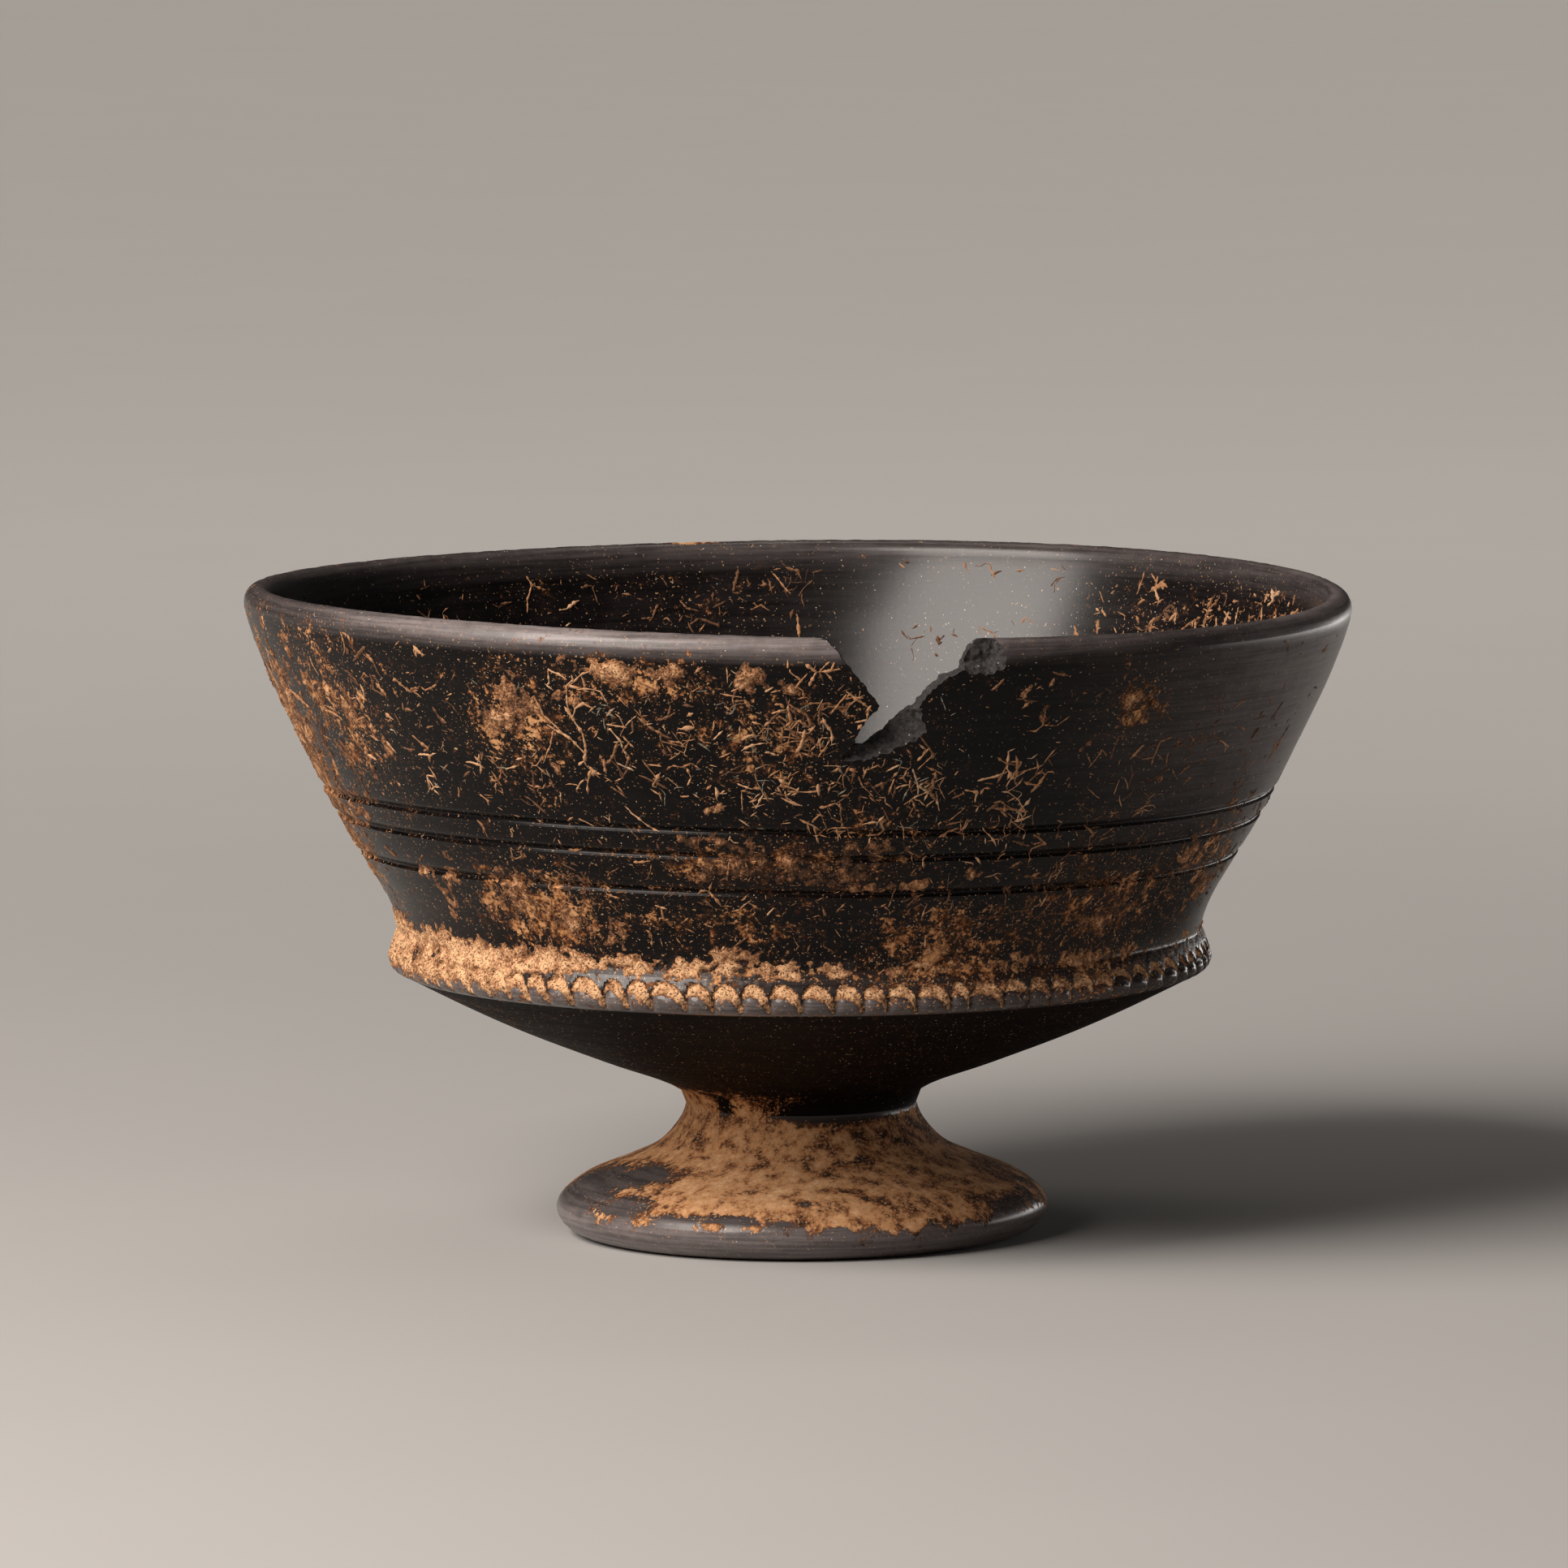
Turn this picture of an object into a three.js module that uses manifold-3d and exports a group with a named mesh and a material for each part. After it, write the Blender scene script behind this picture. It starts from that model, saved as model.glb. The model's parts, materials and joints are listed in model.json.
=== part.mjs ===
// A bucchero bowl: black burnished clay turned on the wheel, on a low trumpet foot that is hollow
// beneath, with three grooves round its wall, a notched ridge where the wall meets the underside,
// and a piece broken out of its rim.
// Millimetres, +Z up. The origin is the centre of the ring that the foot stands on. -Y is the front.

import * as THREE from "three";
import Module from "manifold-3d";

// Heights above the resting plane, and radii about the axis
const height = 82;
const rimRadius = 70;
const ridgeHeight = 33.5; // lower edge of the ridge
const ridgeRadius = 52.1; // crown of its lobes
const neckHeight = 16.4;
const neckRadius = 14.6;
const footRadius = 31.2;
const footEdgeHeight = 3.5; // where the foot is widest
const restRadius = 26.8; // outside of the ring it stands on
const restWidth = 2.4;
const hollowDepth = 14.5; // the foot's hollow, up from the resting plane
const floorHeight = 25; // the inside floor, on the axis

// Wall and lip
const wallThickness = 3.8;
const lipThickness = 3.6;
const lipHeight = 2;

// Ridge, measured from its lower edge or its crown
const ridgeRise = 5.4; // up to the corner where the wall springs from it
const ridgeUndercut = 1.7; // how far its lower edge lies inside the crown
const cornerInset = 1.3; // how far the corner lies inside the crown
const lobeCount = 88;
const lobeFoot = 0.5;
const lobeFootInset = 0.5;
const lobeBelly = 1.4;
const lobeTop = 2.3;
const crescentRise = 3.1; // middle of the half-moon pressed in above each lobe
const archRise = 4.2; // top of the half-moon
const archInset = 0.8;
const notchDepth = 0.95;
const crescentDepth = 0.55;

// Grooves, measured up from the corner above the ridge
const grooveRises = [10.5, 15.2, 18.5];
const grooveWidth = 1.3;
const grooveDepth = 0.45;

// The firing pulled the rim out of true: lower at +X, and raised and lowered by turns, four times round
const rimDip = 0.88;
const rimTwist = 0.55;

// The break in the rim, turned from the front towards +X
const breakTurn = THREE.MathUtils.degToRad(10);
const scarDepth = 3.2;
const chipDepth = 1.9;
const cutterReach = 4; // how far a cutting body stands clear of the wall's faces

// Sides of the turned form: fine, coarse where it is narrow, and three to each lobe
const sidesPerLobe = 3;
const fineSides = lobeCount;
const coarseSides = lobeCount / 2;
const lobeSides = lobeCount * sidesPerLobe;
const wallSteps = 8;
const lipSteps = 4;
const edgeSteps = 3;
const innerSteps = 4;

// Curves, as shares of the height and of the width between the two ends of each
const footCurve = [[0, 1], [0.12, 0.95], [0.28, 0.78], [0.43, 0.49], [0.59, 0.23], [0.83, 0.055], [1, 0]];
const undersideCurve = [[0, 0], [0.108, 0.02], [0.167, 0.07], [0.228, 0.141], [0.345, 0.3], [0.643, 0.653],
  [1, 1]];
const wallCurve = [[0, 0], [0.063, 0.036], [0.139, 0.115], [0.236, 0.24], [0.385, 0.427], [0.58, 0.635],
  [0.78, 0.839], [0.93, 0.964], [1, 1]];
const floorCurve = [[0, 0], [0.03, 0.3], [0.24, 0.6], [0.6, 0.85], [1, 1]];
const hollowCurve = [[0, 1], [0.18, 0.92], [0.41, 0.7], [0.62, 0.49], [0.83, 0.37], [0.97, 0.2], [1, 0]];

// The broken edge: across and down from the lip
const brokenEdge = [
  [-10.2, -3], [-9.4, 0], [-7.6, 1.3], [-6.5, 3.2], [-4.7, 5.3], [-2.1, 8.6], [-3.8, 10.5], [-4.9, 12.6],
  [-4.8, 13.6], [-3.2, 13.6], [-0.9, 11.8], [1.2, 9.5], [2.5, 9.1], [4.3, 6.7], [6.3, 5], [8.3, 4.4],
  [8.3, 3.4], [9, 1.8], [10.1, 0.6], [11.4, -3],
];

// Flakes lost from the outer face beside it: across and down on the face, then the same at full depth
const lowerScar = [
  [-6.2, 15.1, -4.6, 13.2], [-3.4, 15.2, -3.2, 13.2], [2.5, 12.9, -1.1, 11.4], [2.8, 9.2, 1.4, 9.1],
  [1.5, 7.5, 1.2, 8.2], [-1, 8.6, -1, 8.4], [-3.8, 11.6, -3.6, 11.4],
];
const lipChip = [
  [7, -3, 7.4, -3], [7, 4.2, 7.4, 3], [9.9, 4.8, 9.9, 3.4], [11.7, 4.8, 11, 3.2], [12.8, 4.2, 11.7, 2.7],
  [13.3, 3.1, 12, 1.9], [13, 1.4, 11.9, 0.9], [12.4, -3, 11.4, -3],
];

const { lerp } = THREE.MathUtils;

// A smooth curve through shares of a height and a width: gives the second for any value of the first.
function smooth(shares) {
  const first = shares.map(([a]) => a);
  const second = shares.map(([, b]) => b);
  const curve = new THREE.CubicInterpolant(first, second, 1);
  return (share) => curve.evaluate(THREE.MathUtils.clamp(share, 0, 1))[0];
}

// The outer face of the wall, from the corner above the ridge to where the lip is widest
const cornerHeight = ridgeHeight + ridgeRise;
const cornerRadius = ridgeRadius - cornerInset;
const lipStart = height - lipHeight;
const wallShare = smooth(wallCurve);

function wallRadius(z) {
  const share = (z - cornerHeight) / (lipStart - cornerHeight);
  return lerp(cornerRadius, rimRadius, wallShare(share));
}

// A ring of the turned form. On the ridge it is pressed in by notch between two lobes, and by crown on each.
function ring(radius, z, sides = fineSides, notch = 0, crown = 0) {
  return { radius, z, sides, notch, crown };
}

// Rings along one curve, without its two ends unless they are asked for
function along(shares, from, to, sides, { start = false, end = false } = {}) {
  const kept = shares.slice(start ? 0 : 1, end ? shares.length : -1);
  return kept.map(([rise, width]) => ring(lerp(from.r0, from.r1, width), lerp(to.z0, to.z1, rise), sides));
}

function hollowRings() {
  const width = { r0: 0, r1: restRadius - restWidth };
  const rise = { z0: 0, z1: hollowDepth };
  return along(hollowCurve, width, rise, coarseSides, { start: true }).reverse();
}

function footRings() {
  const edge = [ring(restRadius, 0, coarseSides)];
  for (let i = 1; i < edgeSteps; i += 1) {
    const turn = (i / edgeSteps) * (Math.PI / 2);
    const radius = lerp(restRadius, footRadius, Math.sin(turn));
    edge.push(ring(radius, footEdgeHeight * (1 - Math.cos(turn)), coarseSides));
  }
  const width = { r0: neckRadius, r1: footRadius };
  const rise = { z0: footEdgeHeight, z1: neckHeight };
  return [...edge, ...along(footCurve, width, rise, coarseSides, { start: true, end: true })];
}

function undersideRings() {
  const width = { r0: neckRadius, r1: ridgeRadius - ridgeUndercut };
  return along(undersideCurve, width, { z0: neckHeight, z1: ridgeHeight }, fineSides, { end: true });
}

function ridgeRings() {
  return [
    ring(ridgeRadius - lobeFootInset, ridgeHeight + lobeFoot, lobeSides, notchDepth / 2),
    ring(ridgeRadius, ridgeHeight + lobeBelly, lobeSides, notchDepth),
    ring(ridgeRadius, ridgeHeight + lobeTop, lobeSides, notchDepth),
    ring(ridgeRadius - archInset / 2, ridgeHeight + crescentRise, lobeSides, 0, crescentDepth),
    ring(ridgeRadius - archInset, ridgeHeight + archRise, fineSides),
  ];
}

function wallRings() {
  const rises = grooveRises.map((rise) => cornerHeight + rise);
  const rings = [];
  for (let i = 0; i < wallSteps; i += 1) {
    const z = lerp(cornerHeight, lipStart, i / wallSteps);
    if (rises.every((groove) => Math.abs(z - groove) > grooveWidth)) rings.push(ring(wallRadius(z), z));
  }
  for (const z of rises) {
    rings.push(ring(wallRadius(z - grooveWidth / 2), z - grooveWidth / 2));
    rings.push(ring(wallRadius(z) - grooveDepth, z));
    rings.push(ring(wallRadius(z + grooveWidth / 2), z + grooveWidth / 2));
  }
  return rings.sort((a, b) => a.z - b.z);
}

function lipRings() {
  const middle = rimRadius - lipThickness / 2;
  const rings = [];
  for (let i = 0; i <= lipSteps; i += 1) {
    const turn = (i / lipSteps) * Math.PI;
    rings.push(ring(middle + (lipThickness / 2) * Math.cos(turn), lipStart + lipHeight * Math.sin(turn)));
  }
  return rings;
}

function insideRings() {
  const rings = [];
  for (let i = 1; i <= innerSteps; i += 1) {
    const z = lerp(lipStart, cornerHeight, i / innerSteps);
    rings.push(ring(wallRadius(z) - wallThickness, z));
  }
  const width = { r0: 0, r1: cornerRadius - wallThickness };
  const floor = along(floorCurve, width, { z0: floorHeight, z1: cornerHeight }, coarseSides);
  return [...rings, ...floor.reverse()];
}

// The firing's pull on a point, none at the neck and below
function warped(point) {
  const share = THREE.MathUtils.clamp((point.z - neckHeight) / (height - neckHeight), 0, 1);
  const turn = Math.atan2(point.x, -point.y);
  point.z -= share * ((rimDip * point.x) / rimRadius + rimTwist * Math.sin(2 * turn));
  return point;
}

// Joins rings, from one pole to the other, into one closed surface.
function turned(bottomPole, rings, topPole) {
  const points = [warped(new THREE.Vector3(0, 0, bottomPole))];
  const starts = rings.map(({ radius, z, sides, notch, crown }) => {
    const start = points.length;
    for (let k = 0; k < sides; k += 1) {
      const turn = (2 * Math.PI * k) / sides;
      const r = radius - (k % sidesPerLobe === 0 ? notch : crown);
      points.push(warped(new THREE.Vector3(r * Math.sin(turn), -r * Math.cos(turn), z)));
    }
    return start;
  });
  points.push(warped(new THREE.Vector3(0, 0, topPole)));

  const faces = [];
  const last = points.length - 1;
  const first = rings[0];
  const end = rings[rings.length - 1];
  for (let k = 0; k < first.sides; k += 1) {
    faces.push(0, starts[0] + ((k + 1) % first.sides), starts[0] + k);
  }
  for (let i = 1; i < rings.length; i += 1) {
    const [low, high] = [rings[i - 1].sides, rings[i].sides];
    let [a, b] = [0, 0];
    while (a < low || b < high) {
      const p = starts[i - 1] + (a % low);
      const q = starts[i] + (b % high);
      if (b >= high || (a < low && (a + 0.5) * high <= (b + 0.5) * low)) {
        faces.push(p, starts[i - 1] + ((a + 1) % low), q);
        a += 1;
      } else {
        faces.push(p, starts[i] + ((b + 1) % high), q);
        b += 1;
      }
    }
  }
  const top = starts[starts.length - 1];
  for (let k = 0; k < end.sides; k += 1) {
    faces.push(last, top + k, top + ((k + 1) % end.sides));
  }
  return { points, faces };
}

// A point at a distance across and down from the lip at the break, and a depth into the wall
function wallPoint(across, drop, depth) {
  const z = height - drop;
  const radius = wallRadius(z) - depth;
  const turn = breakTurn + Math.asin(across / radius);
  return new THREE.Vector3(radius * Math.sin(turn), -radius * Math.cos(turn), z);
}

// A cutting body through one outline on the wall's outer face and another at a depth, carried on past
// them by its reach each way. An outline that gives only two sizes keeps them all the way through.
function cutter(outline, depth, reachOut, reachIn) {
  const outer = [];
  const inner = [];
  for (const [across, drop, innerAcross = across, innerDrop = drop] of outline) {
    const from = wallPoint(across, drop, 0);
    const to = wallPoint(innerAcross, innerDrop, depth);
    const way = to.clone().sub(from).normalize();
    outer.push(from.addScaledVector(way, -reachOut));
    inner.push(to.addScaledVector(way, reachIn));
  }
  const count = outline.length;
  const flat = outline.map(([across, drop]) => new THREE.Vector2(across, -drop));
  const cap = THREE.ShapeUtils.triangulateShape(flat, []);
  const faces = cap.flatMap(([a, b, c]) => [a, b, c, count + a, count + c, count + b]);
  for (let k = 0; k < count; k += 1) {
    const next = (k + 1) % count;
    faces.push(k, count + k, count + next, k, count + next, next);
  }
  return { points: [...outer, ...inner], faces };
}

const wasm = await Module();
wasm.setup();

// The body that a closed surface holds, whichever way round its faces were listed
function solid({ points, faces }) {
  const vertProperties = new Float32Array(points.flatMap((point) => point.toArray()));
  const bodyOf = (corners) => {
    const triVerts = new Uint32Array(corners);
    return new wasm.Manifold(new wasm.Mesh({ numProp: 3, vertProperties, triVerts }));
  };
  const made = bodyOf(faces);
  return made.volume() > 0 ? made : bodyOf(faces.toReversed());
}

function geometryOf(made) {
  const mesh = made.getMesh();
  const geometry = new THREE.BufferGeometry();
  geometry.setAttribute("position", new THREE.BufferAttribute(mesh.vertProperties, 3));
  geometry.setIndex(new THREE.BufferAttribute(mesh.triVerts, 1));
  geometry.computeVertexNormals();
  return geometry;
}

const whole = turned(
  hollowDepth,
  [...hollowRings(), ...footRings(), ...undersideRings(), ...ridgeRings(), ...wallRings(), ...lipRings(),
    ...insideRings()],
  floorHeight,
);
const broken = solid(whole)
  .subtract(solid(cutter(brokenEdge, wallThickness, cutterReach, cutterReach)))
  .subtract(solid(cutter(lowerScar, scarDepth, cutterReach, 0)))
  .subtract(solid(cutter(lipChip, chipDepth, cutterReach, 0)));

const bucchero = new THREE.MeshStandardMaterial({ color: 0x2b2726, roughness: 0.42, metalness: 0 });
const bowl = new THREE.Mesh(geometryOf(broken), bucchero);
bowl.name = "bowl";

const vessel = new THREE.Group();
vessel.add(bowl);

export default vessel;
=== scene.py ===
import bpy
import json
import math
import random
import numpy as np
from mathutils import Matrix, Vector

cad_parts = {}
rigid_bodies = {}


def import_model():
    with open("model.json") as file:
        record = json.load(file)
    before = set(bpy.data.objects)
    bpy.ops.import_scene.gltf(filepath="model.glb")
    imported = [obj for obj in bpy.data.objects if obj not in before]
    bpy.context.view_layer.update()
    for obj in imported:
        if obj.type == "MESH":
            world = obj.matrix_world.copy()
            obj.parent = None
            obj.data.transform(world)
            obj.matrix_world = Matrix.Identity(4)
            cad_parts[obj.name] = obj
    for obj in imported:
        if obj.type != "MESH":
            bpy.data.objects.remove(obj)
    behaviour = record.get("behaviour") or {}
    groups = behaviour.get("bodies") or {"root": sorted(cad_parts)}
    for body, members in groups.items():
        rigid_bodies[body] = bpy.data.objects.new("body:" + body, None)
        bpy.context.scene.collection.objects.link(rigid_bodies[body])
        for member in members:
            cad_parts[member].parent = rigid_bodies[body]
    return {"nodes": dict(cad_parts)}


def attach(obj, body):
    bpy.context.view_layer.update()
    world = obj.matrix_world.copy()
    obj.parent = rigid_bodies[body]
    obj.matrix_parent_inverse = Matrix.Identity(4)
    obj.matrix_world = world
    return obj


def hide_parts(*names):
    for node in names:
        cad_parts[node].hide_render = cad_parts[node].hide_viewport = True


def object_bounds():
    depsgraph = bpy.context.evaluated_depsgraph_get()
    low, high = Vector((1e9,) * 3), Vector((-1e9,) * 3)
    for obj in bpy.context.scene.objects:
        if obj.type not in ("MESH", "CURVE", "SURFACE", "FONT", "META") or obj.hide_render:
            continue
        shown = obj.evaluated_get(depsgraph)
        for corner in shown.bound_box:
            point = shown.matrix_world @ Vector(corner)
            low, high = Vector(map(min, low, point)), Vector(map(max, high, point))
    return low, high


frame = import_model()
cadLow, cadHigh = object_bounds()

mm = 0.001
print("frame loaded:", sorted(frame["nodes"]))

# the turned form, in millimetres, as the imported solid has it

vessel = {
    "height": 82.0, "rimRadius": 70.0, "ridgeHeight": 33.5, "ridgeRadius": 52.1,
    "neckHeight": 16.4, "neckRadius": 14.6, "footRadius": 31.2, "footEdgeHeight": 3.5,
    "restRadius": 26.8, "restWidth": 2.4, "hollowDepth": 14.5, "floorHeight": 25.0,
    "wallThickness": 3.8, "lipThickness": 3.6, "lipHeight": 2.0,
    "ridgeRise": 5.4, "ridgeUndercut": 1.7, "cornerInset": 1.3,
    "grooveRises": (10.5, 15.2, 18.5), "grooveDepth": 0.45,
    "rimDip": 0.88, "rimTwist": 0.55,
    "wheelRibs": 0.035,        # depth of the faint ribs that the potter's fingers left
    "rimNicks": 0.12,          # small dents and bumps along the lip
}
ridge = {
    "lobes": 88, "lobeShift": 0.17, "notchDepth": 0.85,
    "archTop": 4.0, "archFoot": 1.35, "archPower": 2.5, "archLean": 0.75,
    "lobeTop": 2.3, "lobeFoot": 0.6, "lobeShare": 1.05, "lobeCentre": -0.26, "lobeLean": 0.3,
    "lobePuff": 0.24,          # how far a lobe's middle stands out
    "lobeRound": 0.55,         # how far its top edge rounds over
    "tooled": 0.08,            # unevenness that the stamping tool left
    "stampDepth": 0.62, "stampWall": 0.26,
}
profiles = {
    "foot": [(0, 1), (0.12, 0.95), (0.28, 0.78), (0.43, 0.49), (0.59, 0.23), (0.83, 0.055), (1, 0)],
    "underside": [(0, 0), (0.108, 0.02), (0.167, 0.07), (0.228, 0.141), (0.345, 0.3), (0.643, 0.653), (1, 1)],
    "wall": [(0, 0), (0.063, 0.036), (0.139, 0.115), (0.236, 0.24), (0.385, 0.427), (0.58, 0.635),
             (0.78, 0.839), (0.93, 0.964), (1, 1)],
    "floor": [(0, 0), (0.03, 0.3), (0.24, 0.6), (0.6, 0.85), (1, 1)],
    "hollow": [(0, 1), (0.18, 0.92), (0.41, 0.7), (0.62, 0.49), (0.83, 0.37), (0.97, 0.2), (1, 0)],
    "ridge": [(0, 50.4), (0.5, 51.6), (1.4, 52.1), (2.3, 52.1), (3.1, 51.75), (4.2, 51.35), (5.4, 50.8)],
    "groove": [(-0.75, 0), (-0.6, -0.06), (-0.4, 0.5), (-0.2, 0.95), (0.0, 1), (0.3, 0.55), (0.65, 0)],
}


def smoothCurve(points):
    x, y = np.array(points, float).T
    rise = np.diff(y) / np.diff(x)
    slope = np.empty_like(x)
    slope[1:-1] = (y[2:] - y[:-2]) / (x[2:] - x[:-2])
    slope[0] = 1.5 * rise[0] - 0.5 * slope[1]
    slope[-1] = 1.5 * rise[-1] - 0.5 * slope[-2]

    def curve(value):
        value = np.clip(value, x[0], x[-1])
        k = np.clip(np.searchsorted(x, value, side="right") - 1, 0, len(x) - 2)
        width = x[k + 1] - x[k]
        t = (value - x[k]) / width
        low = (1 + 2 * t) * (1 - t) ** 2 * y[k] + t * (1 - t) ** 2 * width * slope[k]
        return low + t * t * (3 - 2 * t) * y[k + 1] + t * t * (t - 1) * width * slope[k + 1]

    return curve


def between(value, low, high):
    # how far a value is from low to high, 0 to 1
    return (value - low) / (high - low)


def smoothStep(low, high, value):
    t = np.clip(between(value, low, high), 0, 1)
    return t * t * (3 - 2 * t)


curves = {name: smoothCurve(points) for name, points in profiles.items()}
neck, ridgeLow = vessel["neckHeight"], vessel["ridgeHeight"]
cornerHeight = ridgeLow + vessel["ridgeRise"]
cornerRadius = vessel["ridgeRadius"] - vessel["cornerInset"]
lipStart = vessel["height"] - vessel["lipHeight"]
grooves = [cornerHeight + rise for rise in vessel["grooveRises"]]

# noise for the shapes, the same on every run

noiseSource = np.random.default_rng(41)
noiseOrder = noiseSource.permutation(256)
noiseSlopes = noiseSource.normal(size=(256, 3))
noiseSlopes /= np.linalg.norm(noiseSlopes, axis=1)[:, None]


def noiseAt(points, size, octaves=1, seed=0):
    # gradient noise of a given grain size in mm, about -0.7 to 0.7
    total, share = np.zeros(len(points)), 1.0
    for octave in range(octaves):
        place = points / size + 13.7 * (seed + 1) + 5.3 * octave
        cell = np.floor(place).astype(int)
        inside = place - cell
        ease = inside ** 3 * (inside * (inside * 6 - 15) + 10)
        for corner in np.ndindex(2, 2, 2):
            c = (cell + corner) & 255
            pick = noiseOrder[(noiseOrder[(noiseOrder[c[:, 0]] + c[:, 1]) & 255] + c[:, 2]) & 255]
            weight = np.prod(np.where(corner, ease, 1 - ease), axis=1)
            total += share * weight * ((inside - corner) * noiseSlopes[pick]).sum(1)
        size, share = size / 2, share / 2
    return total


# surfaces: radius for a turn (0 at the front, + towards +X) and a height

lobeRandom = np.random.default_rng(7)
lobeShifts = lobeRandom.uniform(-ridge["lobeShift"], ridge["lobeShift"], ridge["lobes"])
lobeDraws = lobeRandom.uniform(0, 1, ridge["lobes"])


def lobePlace(turn):
    # number of the lobe, and the way across it from -1 to 1
    count = ridge["lobes"]
    borders = np.arange(count + 1) + np.append(lobeShifts, lobeShifts[0])
    at = np.mod(turn / (2 * math.pi) * count - borders[0], count) + borders[0]
    k = np.clip(np.searchsorted(borders, at, side="right") - 1, 0, count - 1)
    across = 2 * (at - borders[k]) / (borders[k + 1] - borders[k]) - 1
    return k, np.clip(across, -1, 1)


def stampEdges(across):
    # rise of the arch and of the lobe's top, above the ridge's lower edge
    arch = np.clip(1 - np.abs(across) ** ridge["archPower"], 0, 1) ** 0.5
    dome = np.sqrt(np.clip(1 - ((across - ridge["lobeCentre"]) / ridge["lobeShare"]) ** 2, 0, 1))
    archRise = ridge["archFoot"] + (ridge["archTop"] - ridge["archFoot"]) * arch - ridge["archLean"] * across
    lobeRise = ridge["lobeFoot"] + (ridge["lobeTop"] - ridge["lobeFoot"]) * dome - ridge["lobeLean"] * across
    return archRise, lobeRise


def stampPlace(turn, z):
    # mm inside the stamped half-moon: below its arch, and above its lobe
    k, across = lobePlace(turn)
    archRise, lobeRise = stampEdges(across)
    rise = z - ridgeLow
    return k, across, archRise - rise, rise - lobeRise


def onAxis(turn, radius, z):
    return np.stack([radius * np.sin(turn), -radius * np.cos(turn), z], axis=-1)


def wallRadius(z):
    share = between(z, cornerHeight, lipStart)
    return cornerRadius + (vessel["rimRadius"] - cornerRadius) * curves["wall"](share)


def ribs(z, seed):
    flat = np.stack([np.zeros_like(z), np.zeros_like(z), z], axis=-1)
    return vessel["wheelRibs"] * 2 * noiseAt(flat, 3.1, 2, seed)


def outerRadius(turn, z):
    # the ridge with its stamped half-moons, then the wall with its grooves
    rise = z - ridgeLow
    _, across, below, above = stampPlace(turn, z)
    onRidge = curves["ridge"](rise)
    notch = ridge["notchDepth"] * np.abs(across) ** 4
    notch = notch * smoothStep(-0.1, 0.9, rise) * (1 - smoothStep(1.6, 3.2, rise))
    wide = np.maximum(below + above, 0.2)
    stamp = smoothStep(0, ridge["stampWall"], below) * smoothStep(0, 0.75, np.clip(above / wide, 0, 1))
    onRidge = onRidge - notch - ridge["stampDepth"] * stamp * (rise > 0)
    puff = (1 - across ** 2) * smoothStep(0.1, 1.2, rise) - 1
    over = smoothStep(-ridge["lobeRound"], 0.15, above) * smoothStep(0.3, 1.2, rise)
    onLobe = 1 - smoothStep(0.0, 0.5, above) * (above > 0)
    onRidge = onRidge + onLobe * ridge["lobePuff"] * (puff * 0.6 - 0.8 * over)
    onRidge = onRidge + ridge["tooled"] * noiseAt(onAxis(turn, onRidge, z), 0.8, 2, 14) * smoothStep(0.3, 0.8, rise)
    onWall = wallRadius(z) + ribs(z, 3)
    for groove in grooves:
        onWall = onWall - vessel["grooveDepth"] * curves["groove"](z - groove)
    blend = smoothStep(cornerHeight - 0.15, cornerHeight + 0.15, z)
    return onRidge * (1 - blend) + onWall * blend


def innerRadius(turn, z):
    return wallRadius(z) - vessel["wallThickness"] + ribs(z, 9)


def footRadiusAt(z):
    share = between(z, vessel["footEdgeHeight"], neck)
    return vessel["neckRadius"] + (vessel["footRadius"] - vessel["neckRadius"]) * curves["foot"](share)


def undersideRadius(z):
    share = between(z, neck, ridgeLow)
    width = vessel["ridgeRadius"] - vessel["ridgeUndercut"] - vessel["neckRadius"]
    return vessel["neckRadius"] + width * curves["underside"](share)


def warped(points):
    # the firing pulled the rim out of true
    share = np.clip(between(points[:, 2], neck, vessel["height"]), 0, 1)
    turn = np.arctan2(points[:, 0], -points[:, 1])
    moved = points.copy()
    moved[:, 2] -= share * (vessel["rimDip"] * points[:, 0] / vessel["rimRadius"]
                            + vessel["rimTwist"] * np.sin(2 * turn))
    return moved


def unwarped(points):
    flat = points.copy()
    for _ in range(3):
        flat[:, 2] += points[:, 2] - warped(flat)[:, 2]
    return flat


# the clay body: rings from the top of the foot's hollow round to the inside floor

clayMesh = {
    "hollowSides": 132, "footSides": 264, "undersideSides": 264, "ridgeSides": 1144, "wallSides": 528,
    "insideSides": 264,
    "hollowRings": 11, "edgeRings": 8, "footRings": 26, "undersideRings": 21, "ridgeRings": 27,
    "wallStep": 1.35, "lipRings": 10, "insideRings": 20, "floorRings": 16,
    "grooveStep": 0.15, "grooveHalf": 0.75, "grooveKeep": 1.1,    # finer rings across each groove
}


def evenly(radii, heights, count):
    way = np.concatenate([[0], np.cumsum(np.hypot(np.diff(radii), np.diff(heights)))])
    at = np.linspace(0, way[-1], count)
    return list(zip(np.interp(at, way, radii), np.interp(at, way, heights)))


def sideTurns(sides):
    return 2 * math.pi * np.arange(sides) / sides


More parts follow.
